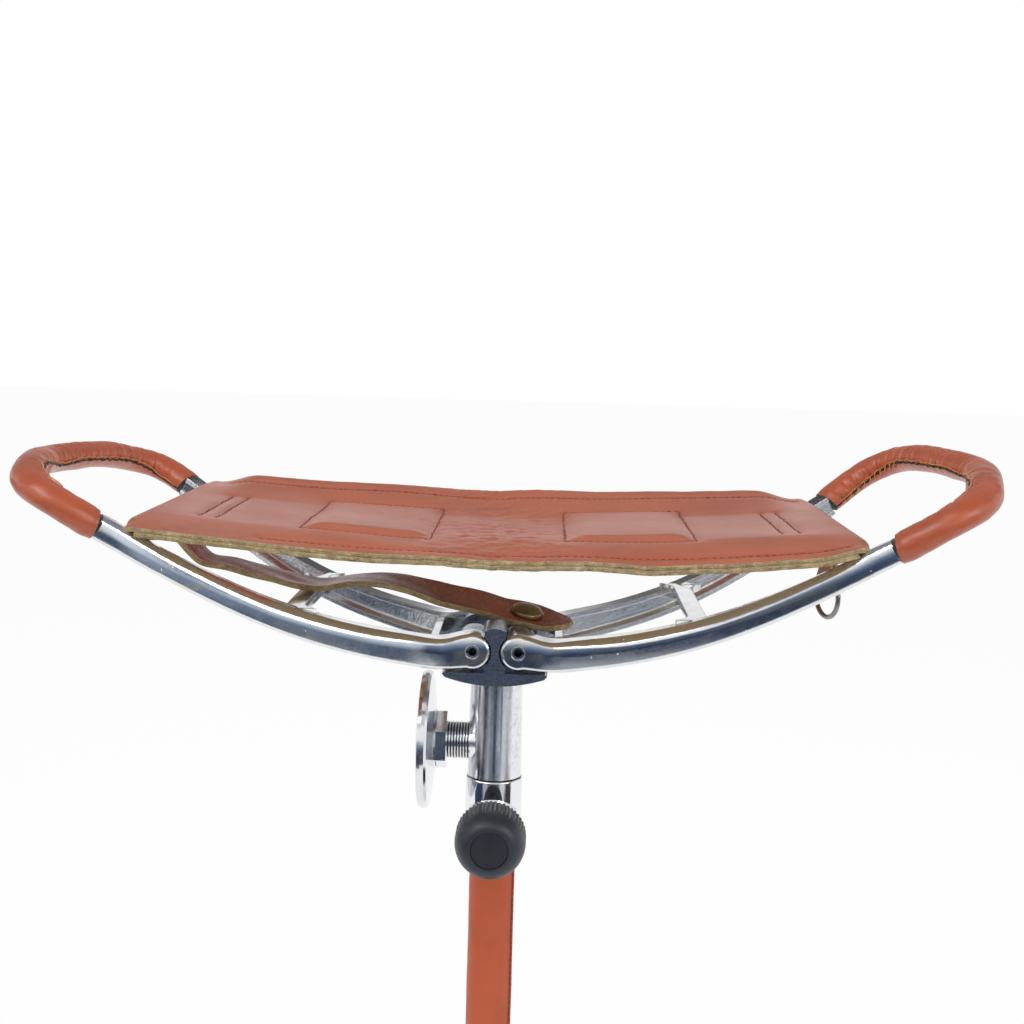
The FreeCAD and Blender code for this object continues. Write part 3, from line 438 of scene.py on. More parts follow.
def metal_material(name, colour, rough, scratch=0.03, pits=0.0, brushed=None, dents=0.05, mottled=0.0):
    """A bare metal. brushed is the coordinate scale that draws its fine lines."""
    s = Shader(name, metallic=1.0)
    cloudy = s.noise(70.0, 5.0, 0.6)
    low, high = rough
    base = s.mix(s.rise(cloudy, 0.3, 0.7), shade(colour, 0.94 - mottled), colour)
    roughness = s.ramp(s.noise(240.0, 6.0, 0.7), [(0.3, low), (0.75, high)])
    s.bump(s.noise(38.0, 2.0, 0.5), dents, 0.6)
    if scratch:
        lines = s.noise(420.0, 4.0, 0.8, 1.2, s.scaled((1.0, 1.0, 6.0)))
        s.bump(lines, scratch, 0.5)
    if brushed:
        s.bump(s.noise(300.0, 5.0, 0.75, 0.0, s.scaled(brushed)), 0.05, 0.6)
    if pits:
        spots = s.cells(330.0)
        holes = s.rise(spots, 0.03, 0.09)
        base = s.mix(s.times(s.inverse(holes), pits, True), base, (0.93, 0.94, 0.95))
        s.bump(holes, 0.05, 0.7)
    return s.done(base_color=base, roughness=roughness)


mats = {}
mats["sling"] = leather_material("sling_leather", (0.51, 0.107, 0.030), (0.40, 0.076, 0.022),
                                 (0.28, 0.40), wrinkle=0.7, shine=0.6, wax=0.55)
mats["grip"] = leather_material("grip_leather", (0.49, 0.096, 0.028), (0.37, 0.068, 0.021),
                                (0.28, 0.42), grain=1100.0, shine=0.5, wax=0.3)
mats["shaft"] = leather_material("shaft_leather", (0.56, 0.115, 0.044), (0.47, 0.088, 0.034), grain=1100.0)
mats["strap"] = leather_material("strap_leather", (0.40, 0.074, 0.028), (0.25, 0.046, 0.021),
                                 (0.22, 0.34), shine=0.7)
mats["edge"] = suede_material("raw_edge", ((0.09, 0.07, 0.03), (0.36, 0.255, 0.13), (0.70, 0.54, 0.32)),
                              split=(0.62, 0.66, 0.42), clump=240.0)
mats["flesh"] = suede_material("flesh_side", ((0.26, 0.17, 0.085), (0.40, 0.28, 0.15), (0.52, 0.39, 0.23)))
mats["foam"] = suede_material("black_foam", ((0.010, 0.011, 0.012), (0.022, 0.024, 0.026),
                                            (0.06, 0.062, 0.065)))


# Centre line of the arms as (x, z) in metres, for the hand-polished crown of their outer faces
ARM_CENTRE = [(0.0115, 0.580), (0.0265, 0.5782), (0.042, 0.580), (0.062, 0.5842), (0.084, 0.5904),
              (0.106, 0.5986), (0.128, 0.6092), (0.149, 0.6213), (0.168, 0.6335), (0.1854, 0.6449)]
ARM_REACH, ARM_LOW, ARM_SPAN, ARM_HALF = 0.2, 0.570, 0.08, 0.0075
ARM_CROWN_MM = 0.85


def bow_material():
    """Polished outer faces, and the cast skin left inside the channels."""
    s = Shader("bow_metal", metallic=1.0)
    s.rounded(0.9)
    centre = s.ramp(s.times(s.math("ABSOLUTE", s.axis(0)), 1 / ARM_REACH),
                    [(x / ARM_REACH, (z - ARM_LOW) / ARM_SPAN) for x, z in ARM_CENTRE])
    above = s.math("SUBTRACT", s.axis(2), s.times(centre, ARM_SPAN))
    above = s.math("DIVIDE", s.math("SUBTRACT", above, ARM_LOW), ARM_HALF)
    upper = s.math("POWER", s.math("MAXIMUM", above, 0.0), 2.0)
    lower = s.math("POWER", s.math("MAXIMUM", s.times(above, -1.0), 0.0), 3.0)
    outward = s.times(s.facing(1), s.math("SIGN", s.axis(1)))
    outer = s.rise(outward, 0.5, 0.8)
    crown = s.plus(s.times(upper, -1.0), s.times(lower, -0.12))
    s.bump(s.times(crown, outer), ARM_CROWN_MM, 1.0)
    inside = s.rise(s.times(outward, -1.0), 0.35, 0.75)
    cloudy = s.noise(60.0, 6.0, 0.65)
    base = s.mix(s.rise(cloudy, 0.3, 0.7), (0.72, 0.73, 0.75), (0.84, 0.85, 0.87))
    base = s.mix(s.times(inside, 0.2), base, (0.45, 0.46, 0.48))
    stains = s.ramp(s.noise(34.0, 5.0, 0.6, 0.8, s.scaled((0.7, 1.0, 2.2))), [(0.56, 0.0), (0.62, 0.55)])
    base = s.mix(s.times(stains, s.inverse(inside)), base, (0.86, 0.80, 0.62))
    polish = s.ramp(s.noise(200.0, 6.0, 0.75), [(0.3, 0.05), (0.8, 0.17)])
    polish = s.plus(polish, s.times(stains, 0.16))
    cast = s.ramp(s.noise(300.0, 5.0, 0.7), [(0.3, 0.10), (0.7, 0.26)])
    roughness = s.mix(inside, polish, cast)
    s.bump(s.noise(16.0, 2.0, 0.5), 0.55, 0.7)
    s.bump(s.noise(60.0, 3.0, 0.5), 0.10, 0.6)
    fine = s.noise(650.0, 4.0, 0.8, 1.5, s.scaled((1.0, 1.0, 5.0)))
    s.bump(fine, 0.02, 0.35)
    skin = s.noise(260.0, 5.0, 0.7)
    s.bump(s.times(skin, inside), 0.3, 0.8)
    spots = s.rise(s.cells(170.0), 0.03, 0.075)
    wanted = s.fall(s.noise(45.0, 2.0), 0.52, 0.6)
    flecks = s.times(s.inverse(spots), s.inverse(wanted))
    s.bump(s.times(flecks, -1.0), 0.25, 0.9)
    roughness = s.plus(roughness, s.times(flecks, 0.5), True)
    return s.done(base_color=base, roughness=roughness)


def hub_material():
    """Linished flange and fin above, tinted dark blue as a painted reflection; satin casting with drawn
    highlights on the neck below, and painted shade in the roots of the stud's thread.
    """
    s = Shader("hub_metal", metallic=1.0)
    height = s.times(s.math("SUBTRACT", s.axis(2), 0.558), 100.0)
    upper = s.rise(height, 0.45, 0.55)
    pits = s.noise(430.0, 5.0, 0.75)
    where = s.rise(s.noise(38.0, 3.0, 0.5), 0.40, 0.6)
    base = s.mix(s.times(s.fall(pits, 0.35, 0.6), where), (0.84, 0.85, 0.87), (0.60, 0.62, 0.66))
    # Painted reflection: the flange and fin are tinted dark blue, standing in for the dark surroundings they
    # reflect.
    base = s.mix(s.times(upper, 0.8), base, (0.30, 0.34, 0.42))
    lines = s.noise(520.0, 5.0, 0.8, 0.3, s.scaled((0.35, 1.0, 2.2)))
    # The linished lines are real, but their dark blue colour is painted reflection as well.
    base = s.mix(s.times(s.ramp(lines, [(0.45, 0.0), (0.62, 0.8)]), upper), base, (0.24, 0.27, 0.34))
    neck_rough = s.ramp(s.noise(140.0, 5.0, 0.7), [(0.3, 0.10), (0.72, 0.24)])
    linished = s.ramp(lines, [(0.3, 0.14), (0.7, 0.34)])
    # Painted shade: on the stud, everything within about 9.4 mm of its axis, the roots of its thread, is
    # coloured near black; the crests stay bright.
    rise = s.math("SUBTRACT", s.axis(2), 0.523)
    radius = s.math("SQRT", s.plus(s.math("POWER", rise, 2.0), s.math("POWER", s.axis(1), 2.0)))
    thread_groove_shade = s.fall(s.times(radius, 50.0), 0.468, 0.492)
    on_stud = s.math("LESS_THAN", s.axis(0), -0.0132)
    low = s.inverse(upper)
    thread_groove_shade = s.times(thread_groove_shade, s.times(on_stud, low))
    base = s.mix(thread_groove_shade, base, (0.10, 0.10, 0.10))
    roughness = s.mix(upper, neck_rough, linished)
    s.bump(s.times(lines, upper), 0.08, 0.8)
    s.bump(s.times(pits, where), 0.03, 0.4)
    s.bump(s.noise(26.0, 3.0, 0.5, 0.0, s.scaled((1.0, 1.0, 0.3))), 0.5, 0.6)
    return s.done(base_color=base, roughness=roughness)


mats["bow"] = bow_material()
mats["hub"] = hub_material()
mats["chrome"] = metal_material("collar_chrome", (0.86, 0.87, 0.89), (0.03, 0.08), scratch=0.01, dents=0.12)
mats["plate"] = metal_material("plate_alloy", (0.80, 0.81, 0.83), (0.08, 0.2), scratch=0.02, pits=0.2,
                               dents=0.2)
mats["tube"] = metal_material("tube_alloy", (0.74, 0.75, 0.77), (0.16, 0.3), scratch=0.0,
                              brushed=(8.0, 8.0, 0.4))
mats["steel"] = metal_material("bright_steel", (0.66, 0.66, 0.67), (0.14, 0.3), scratch=0.03)
mats["dark_steel"] = metal_material("ring_steel", (0.30, 0.29, 0.28), (0.22, 0.4), scratch=0.03, mottled=0.2)
mats["brass"] = metal_material("antique_brass", (0.34, 0.27, 0.17), (0.22, 0.42), scratch=0.05, mottled=0.25)


def plastic_material(name, colour, rough, grain=700.0, depth=0.03):
    s = Shader(name)
    base = s.mix(s.rise(s.noise(60.0, 4.0), 0.3, 0.7), shade(colour, 0.8), colour)
    s.bump(s.noise(grain, 4.0, 0.6), depth, 0.5)
    roughness = s.ramp(s.noise(110.0, 5.0, 0.65), [(0.3, rough[0]), (0.7, rough[1])])
    return s.done(base_color=base, roughness=roughness)


mats["knob"] = plastic_material("black_plastic", (0.020, 0.025, 0.035), (0.34, 0.5), 900.0)
mats["cap"] = plastic_material("black_cap", (0.015, 0.018, 0.025), (0.3, 0.44), 1200.0)
mats["rubber"] = plastic_material("black_rubber", (0.028, 0.028, 0.029), (0.62, 0.82), 500.0, 0.06)
mats["nylon"] = plastic_material("nylon", (0.72, 0.71, 0.66), (0.38, 0.5))
mats["thread"] = plastic_material("orange_thread", (0.66, 0.25, 0.06), (0.55, 0.75), 2500.0, 0.08)
mats["stitch"] = plastic_material("brown_thread", (0.30, 0.055, 0.024), (0.6, 0.8), 2500.0, 0.08)


def pin_material():
    """Bright ends, and painted shade down the hollow: its walls are coloured near black."""
    s = Shader("pin_steel", metallic=1.0)
    depth = s.times(s.math("ABSOLUTE", s.axis(1)), 20.0)
    # Painted shade: all of the pin nearer the middle than 39.75 mm is coloured near black, standing in for
    # the shade down the hollow.
    base = s.ramp(depth, [(0.795, (0.006, 0.006, 0.007)), (0.799, (0.80, 0.81, 0.83))])
    s.bump(s.noise(400.0, 4.0, 0.6), 0.02, 0.5)
    return s.done(base_color=base, roughness=s.ramp(s.noise(260.0, 4.0, 0.6), [(0.3, 0.10), (0.7, 0.24)]))


mats["pin"] = pin_material()

NODE_MATERIAL = {
    "rubber_ferrule": "rubber",
    "foot_casting": "plate",
    "ground_spike": "steel",
    "outer_tube": "tube",
    "guide_bush": "nylon",
    "clamp_collar": "chrome",
    "clamp_screw": "steel",
    "knob_body": "knob",
    "knob_cap": "cap",
    "inner_tube": "tube",
    "tube_end_bush": "nylon",
    "hub_casting": "hub",
    "hinge_pins": "pin",
    "ground_plate": "plate",
    "right_bow": "bow",
    "left_bow": "bow",
    "right_seat_bar": "steel",
    "left_seat_bar": "steel",
    "carry_ring": "dark_steel",
}
for node, key in NODE_MATERIAL.items():
    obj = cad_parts[node]
    obj.data.materials.clear()
    obj.data.materials.append(mats[key])


# Sling


def arc_z(x):
    radius = (SLING_HALF_X**2 + SLING_SAG**2) / (2 * SLING_SAG)
    rim = BAR_Z + LOOP_R
    return rim - SLING_SAG + radius - np.sqrt(radius**2 - np.minimum(np.abs(x), SLING_HALF_X) ** 2)


# Shape of the grain side: the curled rear edge, the dipping front edge and the padded rectangles
REAR_CURL, CURL_FROM_Y, CURL_FADE_X = 9.0, 34.0, (144.0, 168.0)
FRONT_DIP, FRONT_DROOP, DIP_FROM_Y = 3.8, 3.6, 50.0
PADDING_RISE, PADDING_EDGE = 1.9, 11.0

# Lines of stitches as (x, y) routes
RECTANGLES = [(-97.0, -33.0, -52.0, 50.0), (33.0, 97.0, -52.0, 50.0)]
LINES = []
for sign in (-1, 1):
    for x in (140.0, 148.5):
        LINES.append([(sign * x, -43.0), (sign * x, 37.0)])
LINES.append([(-158.0, 76.5), (166.0, 77.5)])
LINES.append([(-112.0, -80.0), (166.0, -80.5)])
for x0, x1, y0, y1 in RECTANGLES:
    LINES.append([(x0, y0), (x1, y0), (x1, y1), (x0, y1), (x0, y0)])


def line_distance(x, y):
    """Distance to the nearest line of stitches."""
    best = np.full(np.shape(x), 99.0)
    for line in LINES:
        for (ax, ay), (bx, by) in zip(line, line[1:]):
            dx, dy = bx - ax, by - ay
            t = np.clip(((x - ax) * dx + (y - ay) * dy) / (dx * dx + dy * dy), 0, 1)
            best = np.minimum(best, np.hypot(x - ax - t * dx, y - ay - t * dy))
    return best


def smooth_step(a, b, v):
    t = np.clip((v - a) / (b - a), 0, 1)
    return t * t * (3 - 2 * t)


def sling_z(x, y):
    """Height of the sling's grain side."""
    x, y = np.asarray(x, float), np.asarray(y, float)
    ends = 1 - 0.4 * (x / SLING_HALF_X) ** 2
    curled = 1 - smooth_step(*CURL_FADE_X, np.abs(x))
    drooped = smooth_step(30.0, 80.0, x) * (1 - smooth_step(150.0, 172.0, x))
    rear = np.clip((y - CURL_FROM_Y) / (SLING_HALF_Y - CURL_FROM_Y), 0, None)
    front = np.clip((-DIP_FROM_Y - y) / (SLING_HALF_Y - DIP_FROM_Y), 0, None)
    dip = (FRONT_DIP + FRONT_DROOP * drooped) * front**1.5
    z = arc_z(x) + ends * (REAR_CURL * curled * rear**1.35 - dip)
    z = z + 0.55 * waves(x, y, 70.0, 3) * ends
    z = z - 1.1 * np.exp(-np.abs(x + 4.0) / 22.0)
    middle = np.exp(-((x / 36.0) ** 2))
    z = z + 0.30 * middle * waves(x, y, 11.0, 5) + 0.16 * middle * waves(x * 1.8, y, 6.0, 6)
    for x0, x1, y0, y1 in RECTANGLES:
        inside = smooth_step(x0, x0 + PADDING_EDGE, x) * (1 - smooth_step(x1 - PADDING_EDGE, x1, x))
        inside = inside * smooth_step(y0, y0 + PADDING_EDGE, y) * (1 - smooth_step(y1 - 12, y1, y))
        z = z + PADDING_RISE * inside
    d = line_distance(x, y)
    z = z - 0.55 * np.exp(-((d / 1.0) ** 2)) - 0.35 * np.exp(-((d / 3.5) ** 2))
    pucker = np.sin(2 * math.pi * x / 3.7) * np.sin(2 * math.pi * y / 3.7 + 0.7)
    return z + 0.10 * pucker * np.exp(-((d / 2.6) ** 2))


def edge_y(x, sign, seed):
    """The raw front or rear edge, a little uneven."""
    wander = 0.45 * waves(x, x * 0, 26.0, seed) + 0.16 * waves(x, x * 0, 5.0, seed + 1)
    return sign * SLING_HALF_Y - sign * 0.5 + wander


HIDE_STEP = 1.25


def sheet_grid(xs, front, rear, columns):
    """Flat coordinates of a sheet between its front and rear edges, row by row of x."""
    share = np.linspace(-1, 1, columns)[None]
    y = front[:, None] * (1 - share) / 2 + rear[:, None] * (1 + share) / 2
    return np.broadcast_to(xs[:, None], y.shape), y


def hide_grid(xs):
    """Points of the grain side for a row of x values."""
    x, y = sheet_grid(xs, edge_y(xs, -1, 31), edge_y(xs, 1, 41), int(2 * SLING_HALF_Y / HIDE_STEP) + 1)
    return np.stack([x, y, sling_z(x, y)], -1)


def needle_line(x, y):
    """How deep the crease under the stitches is, from 0 to 1."""
    return np.exp(-((line_distance(x, y) / 0.8) ** 2))


def add_hide(name, body, replaced, points, quads, thickness, seed, keep=None, mat="sling", edge="edge",
             rough=0.28, bulge=0.15, rows=4, crease=None):
    """A piece of leather: grain side up, flesh side below, raw suede round its rim."""
    closed, faces, kinds = thicken(points, quads, thickness, rows, bulge, rough, seed, keep)
    n = len(points)
    depth = np.concatenate([np.zeros(n), np.ones(n), np.full(len(closed) - 2 * n, 0.5)])
    marks = np.zeros(len(closed))
    if crease is not None:
        marks[:n] = crease
    obj = new_mesh(name, closed, faces, [mats[mat], mats[edge], mats["flesh"]], kinds, 50.0,
                   {"crease": marks, "depth": depth})
    return settle(obj, body, "leather", *replaced)


def at_seam(p):
    return abs(abs(p[0]) - SEAM_X) < 0.2 and p[2] > 50


# The hide runs flat to HIDE_END_X; its middle goes on round the bar, and an ear lies beside it at each end.
HIDE_END_X = 169.0
LOOP_HALF_Y = 71.5
EAR = ((170.2, 0.05), (171.4, 0.25), (172.6, 0.6), (173.6, 1.1))


def seat_half(side, flap_end):
    """The hide from the fold seam out to the bar, round it, and back under as the sewn return.
    It is built on the right and mirrored for the left, with the left's own unevenness."""
    grid = hide_grid(side * np.append(np.arange(SEAM_X, HIDE_END_X, HIDE_STEP), HIDE_END_X))
    grid[..., 0] = np.abs(grid[..., 0])
    columns = grid.shape[1]
    edge = grid[-1]
    points = [grid.reshape(-1, 3)]
    quads = [lattice(columns, len(grid))]
    edge_ids = len(points[0]) - columns + np.arange(columns)

    def sew(first, last, rows):
        """Carries the outer edge on through further rows, between two of its columns."""
        ids = sum(map(len, points)) + np.arange(len(rows) * (last - first + 1)).reshape(len(rows), -1)
        points.append(np.array(rows).reshape(-1, 3))
        quads.append(quads_of(np.concatenate([edge_ids[first : last + 1][None], ids])))

    inside = np.abs(edge[:, 1]) <= LOOP_HALF_Y
    start, stop = int(np.argmax(inside)), int(len(inside) - np.argmax(inside[::-1]) - 1)
    phi = np.radians(np.arange(6.0, 172.0, 7.5))
    turn = [(BAR_X + LOOP_R * math.sin(a), BAR_Z + LOOP_R * math.cos(a)) for a in phi]
    low = BAR_Z - LOOP_R
    flap_z = arc_z(flap_end) - 2 * LEATHER - 2.5
    middle = ((162.0 + flap_end) / 2, (low + flap_z) / 2 - 2.6)
    under = spline([(171.0, low), (162.0, low + 0.6), middle, (flap_end, flap_z)],
                   int((162 - flap_end) / 1.6))
    row_y = edge[start : stop + 1, 1]
    rows = []
    for i, (x, z) in enumerate(turn + under.tolist()):
        share = np.clip((i - len(turn)) / 12.0, 0, 1)
        half = LOOP_HALF_Y - 3.0 * share
        y = row_y * half / LOOP_HALF_Y
        hang = share * (-5.0 * (1 - np.clip(np.abs(y) / half, 0, 1) ** 5) + 2.2)
        wobble = 0.5 * share * waves(y, np.full_like(y, x), 30.0, 17)
        if i < 3:
            top = sling_z(np.full_like(row_y, side * HIDE_END_X), row_y) - arc_z(HIDE_END_X)
            hang = hang + top * (1 - i / 3)
        rows.append(np.stack([np.full_like(y, x), y, z + hang + wobble], -1))
    sew(start, stop, rows)
    for first, last in ((0, start), (stop, columns - 1)):
        y, z = edge[first : last + 1, 1:].T
        pull = 0.35 * np.sin(y / 3.1) + 0.25 * np.sin(y / 1.3 + 1)
        sew(first, last, [np.stack([x + pull * (x - HIDE_END_X) / 4.6, y, z - drop], -1) for x, drop in EAR])
    points, quads = np.concatenate(points), np.concatenate(quads)
    crease = needle_line(side * points[:, 0], points[:, 1])
    crease[points[:, 2] < 58.0] = 0
    if side < 0:
        points, quads = points * [-1, 1, 1], quads[:, ::-1]
    return points, quads, crease


for name, side, flap_end in (("right", 1, 133.0), ("left", -1, 92.0)):
    points, quads, crease = seat_half(side, flap_end)
    hide = add_hide(f"{name}_sling_hide", f"{name}_seat", [f"{name}_seat_panel", f"{name}_seat_flap"],
                    points, quads, LEATHER, 51, keep=at_seam, crease=crease)

grid = hide_grid(np.linspace(-SEAM_X, SEAM_X, 52))
points = grid.reshape(-1, 3)
middle_hide = add_hide("middle_sling_hide", "middle_seat", ["middle_seat_panel"], points,
                       lattice(grid.shape[1], len(grid)), LEATHER, 52, keep=at_seam,
                       crease=needle_line(points[:, 0], points[:, 1]))


def lining(name, body, xs, seed):
    """The second, lower hide: flesh side down, its raw edge a little proud of the upper one."""
    front = edge_y(xs, -1, 31) + 0.15 * waves(xs, xs * 0, 7.0, 61) - 0.1
    rear = edge_y(xs, 1, 41) + 0.15 * waves(xs, xs * 0, 7.0, 71)
    x, y = sheet_grid(xs, front, rear, 73)
    points = np.stack([x, y, sling_z(x, y) - LEATHER - 0.02], -1).reshape(-1, 3)
    quads = lattice(73, len(xs))
    if xs[0] > xs[-1]:
        quads = quads[:, ::-1]
    obj = add_hide(name, body, [], points, quads, LEATHER, seed, at_seam, "flesh", rough=0.32, bulge=0.2)
    return obj


lining_xs = np.append(np.arange(SEAM_X, 167.5, 2.0), 167.5)
lining("right_sling_lining", "right_seat", lining_xs, 53)
lining("left_sling_lining", "left_seat", -lining_xs, 54)
middle_lining = lining("middle_sling_lining", "middle_seat", np.linspace(-SEAM_X, SEAM_X, 33), 55)


STITCH_R, STITCH_PITCH, STITCH_WANDER = 0.42, 3.4, 0.22


def on_sling(run):
    return np.stack([run[:, 0], run[:, 1], sling_z(run[:, 0], run[:, 1])], -1)


def stitches(route, seed):
    """Threads of the stitches along a straight route on the sling."""
    draw = np.random.default_rng(seed)
    dense = np.linspace(*route, max(2, int(math.dist(*route) / 0.5)), endpoint=False)
    dense = np.concatenate([dense, [route[-1]]])
    count = max(2, int(np.linalg.norm(np.diff(dense, axis=0), axis=1).sum() / STITCH_PITCH))
    spots = resample(dense, count * 8 + 1)
    t = np.linspace(0, 1, 7)
    lift = STITCH_R * (0.9 * np.sin(math.pi * t) ** 0.6 - 0.35) - 0.04
    threads = []
    for k in range(count):
        run = spots[k * 8 + 1 : k * 8 + 8] + draw.normal(0, STITCH_WANDER, 2)
        path = on_sling(run) + lift[:, None] * [0, 0, 1]
        threads.append(tube(path, STITCH_R * (0.75 + 0.25 * np.sin(math.pi * t)), 6))
    return threads


def clip_line(line, low, high):
    """The parts of a route's straight lines whose x lies between two values."""
    out = []
    for a, b in zip(line, line[1:]):
        run = b[0] - a[0]
        if abs(run) < 1e-9:
            if low <= a[0] <= high:
                out.append([a, b])
            continue
        t0, t1 = sorted(((low - a[0]) / run, (high - a[0]) / run))
        t0, t1 = max(0.0, t0), min(1.0, t1)
        if t1 > t0:
            out.append([(a[0] + run * t, a[1] + (b[1] - a[1]) * t) for t in (t0, t1)])
    return out


for name, low, high in (("left", -175.0, -SEAM_X), ("middle", -SEAM_X, SEAM_X), ("right", SEAM_X, 175.0)):
    threads = []
    for number, line in enumerate(LINES):
        for run in clip_line(line, low, high):
            if math.dist(*run) >= 2.0:
                threads += stitches(run, 100 + number)
    obj = new_mesh(f"{name}_sling_stitches", *merge(threads), [mats["stitch"]])
    settle(obj, f"{name}_seat", "leather")
    if name == "middle":
        middle_stitches = obj

for piece in (middle_hide, middle_lining, middle_stitches):
    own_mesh(piece)


# Grips

# Corners of a grip's front half as (x, y, z, share of the lean)
GRIP_ROUTE = [(182.0, 87.4, 62.8, 0.0), (201.7, 97.6, 77.1, 0.5), (221.1, 86.9, 86.1, 1.0),
              (229.4, 57.4, 90.9, 1.0), (241.4, 12.5, 90.6, 1.0)]
LEAN_X, LEAN_Z, REAR_RISE = 2.9, 4.2, 2.2
COVER = (8.7, 7.3)
COVER_TRIM = 5.6


def grip_frames(count, trim, side):
    """Centre line of a grip from its front end to its rear end, with inward and upward axes.
    Both grips are laid out on the right; the left one is mirrored afterwards."""
    halves = []
    for end in (-1, 1):
        halves.append([
            (x + side * share * LEAN_X, end * y,
             z + side * share * (LEAN_Z + end * REAR_RISE * y / GRIP_ROUTE[0][1]))
            for x, y, z, share in GRIP_ROUTE
        ])
    route = halves[0] + halves[1][::-1]
    dense = quadratic_spline(route, 900)
    steps = np.linalg.norm(np.diff(dense, axis=0), axis=1)
    length = np.concatenate([[0], np.cumsum(steps)])
    wanted = np.linspace(trim, length[-1] - trim, count)
    centre = np.stack([np.interp(wanted, length, dense[:, k]) for k in range(3)], 1)
    along = unit(np.gradient(centre, axis=0))
    inward = unit(np.stack([-along[:, 1], along[:, 0], 0 * along[:, 0]], -1))
    upward = np.cross(along, inward)
    return centre, along, inward, upward, wanted - trim


def grip_surface(frames, angle, out):
    """Points of the oval section at an angle from inward over up, out mm outside the cover."""
    centre, _, inward, upward, _ = frames
    a, b = COVER
    shape = (a + out)[..., None] * np.cos(angle)[..., None] * inward[:, None]
    return centre[:, None] + shape + (b + out)[..., None] * np.sin(angle)[..., None] * upward[:, None]


def creases(s, angle, seam, spots):
    """Sum of tucks that start at the seam. spots holds (place, depth, width, reach, slant)."""
    away = np.mod(angle - seam, 2 * math.pi)
    total = np.zeros(np.broadcast_shapes(s.shape, angle.shape))
    for place, depth, width, reach, slant in spots:
        fade = np.exp(-((away / reach) ** 2))
        off = s - place - slant * away
        total = total - depth * fade * np.exp(-((off / width) ** 2))
        total = total + 0.45 * depth * fade * np.exp(-(((off - 2.2 * width) / (1.4 * width)) ** 2))
    return total


def seam_angle(s, total):
    """Where the laced seam lies round a grip, from its front end over the top to the inner face."""
    turn = math.radians(34.0) - math.radians(50.0) * smooth_step(0.22 * total, 0.55 * total, s)
    return turn + 0.10 * np.sin(s / 21.0) + 0.05 * np.sin(s / 8.0 + 1)


LACE_START, LACE_PITCH, LACE_R = 10.0, 12.0, 0.33
LACE_GAP = math.radians(10.0)


def tucks(side, total, draw):
    """Creases of a cover, for the function above: strong round the bend, faint on the front arm."""
    spots = []
    place = 0.30 * total
    while place < total - 6:
        strong = (0.95 if side > 0 else 0.6) * (0.6 + 0.4 * (place / total))
        spots.append((place, strong * draw.uniform(0.4, 1.2), draw.uniform(0.7, 1.5), draw.uniform(0.7, 2.1),
                      draw.normal(0, 1.2)))
        place += draw.uniform(3.0, 8.5)
    place = 14.0
    while place < 0.34 * total:
        spots.append((place, draw.uniform(0.06, 0.22), draw.uniform(1.0, 2.4), draw.uniform(0.4, 0.9),
                      draw.normal(0, 0.8)))
        place += draw.uniform(5.0, 11.0)
    return spots


def grip_cover(side, name):
    """The leather, open along its laced seam. Returns its seam, length, lace holes and tucks."""
    draw = np.random.default_rng(11 if side > 0 else 12)
    frames = grip_frames(520, COVER_TRIM, side)
    s = frames[4]
    total = s[-1]
    seam = seam_angle(s, total)
    holes = np.arange(LACE_START, total - 6, LACE_PITCH)
    scallop = 0.5 - 0.5 * np.cos(2 * math.pi * (s - LACE_START) / LACE_PITCH)
    ticks = np.arange(0, total + 2, 1.5)
    ragged = 0.05 * scallop + 0.03 * np.interp(s, ticks, draw.normal(0, 1, len(ticks)))
    open_turn = 2 * math.pi - LACE_GAP - ragged
    angle = (seam + 0.02 * np.sin(s))[:, None] + np.linspace(0, 1, 88)[None] * open_turn[:, None]
    spots = tucks(side, total, draw)
    S = np.broadcast_to(s[:, None], angle.shape)
    out = creases(S, angle, seam[:, None], spots)
    out = out + 0.22 * waves(S, angle * 7.0, 34.0, 21) + 0.10 * waves(S, angle * 7.0, 9.0, 22)
    away = np.mod(angle - seam[:, None], 2 * math.pi)
    nearest = np.min(np.abs(S[..., None] - holes), axis=-1)
    out = out - 0.5 * np.exp(-((away / 0.16) ** 2)) * np.exp(-((nearest / 1.6) ** 2))
    # Painted shade: mark darkens the leather in the dimples at the lace holes, and on the left grip band
    # darkens it along its groove.
    mark = np.exp(-((nearest / 0.55) ** 2)) * np.exp(-(((away - 0.13) / 0.055) ** 2)) * 1.3
    if side < 0:
        band = np.exp(-(((S - 0.265 * total - 1.2 * np.sin(away)) / 0.7) ** 2))
        band = band * smooth_step(1.2, 1.6, away) * (1 - smooth_step(3.6, 4.2, away))
        out = out - 0.55 * band
        mark = mark + band
    tight = np.minimum(smooth_step(0, 3.5, S), smooth_step(0, 3.5, total - S))
    out = out * (0.35 + 0.65 * tight) - 0.35 * (1 - tight)
    ends = (1 - smooth_step(0, 6, s)) + smooth_step(total - 6, total, s)
    slant = (frames[1] * ends[:, None])[:, None] * (1.4 * np.sin(angle))[..., None]
    points = (grip_surface(frames, angle, out) + slant).reshape(-1, 3) * [side, 1, 1]
    centre = np.repeat(frames[0], angle.shape[1], axis=0) * [side, 1, 1]
    quads = facing_out(points, lattice(angle.shape[1], len(s)), centre)
    cover = add_hide(f"{name}_grip_leather", f"{name}_frame", [f"{name}_grip_cover"], points, quads, 1.5,
                     81 if side > 0 else 82, mat="grip", edge="dark_edge", rough=0.10, bulge=0.2, rows=3,
                     crease=np.clip(mark, 0, 1).reshape(-1))
    return seam, total, holes, spots


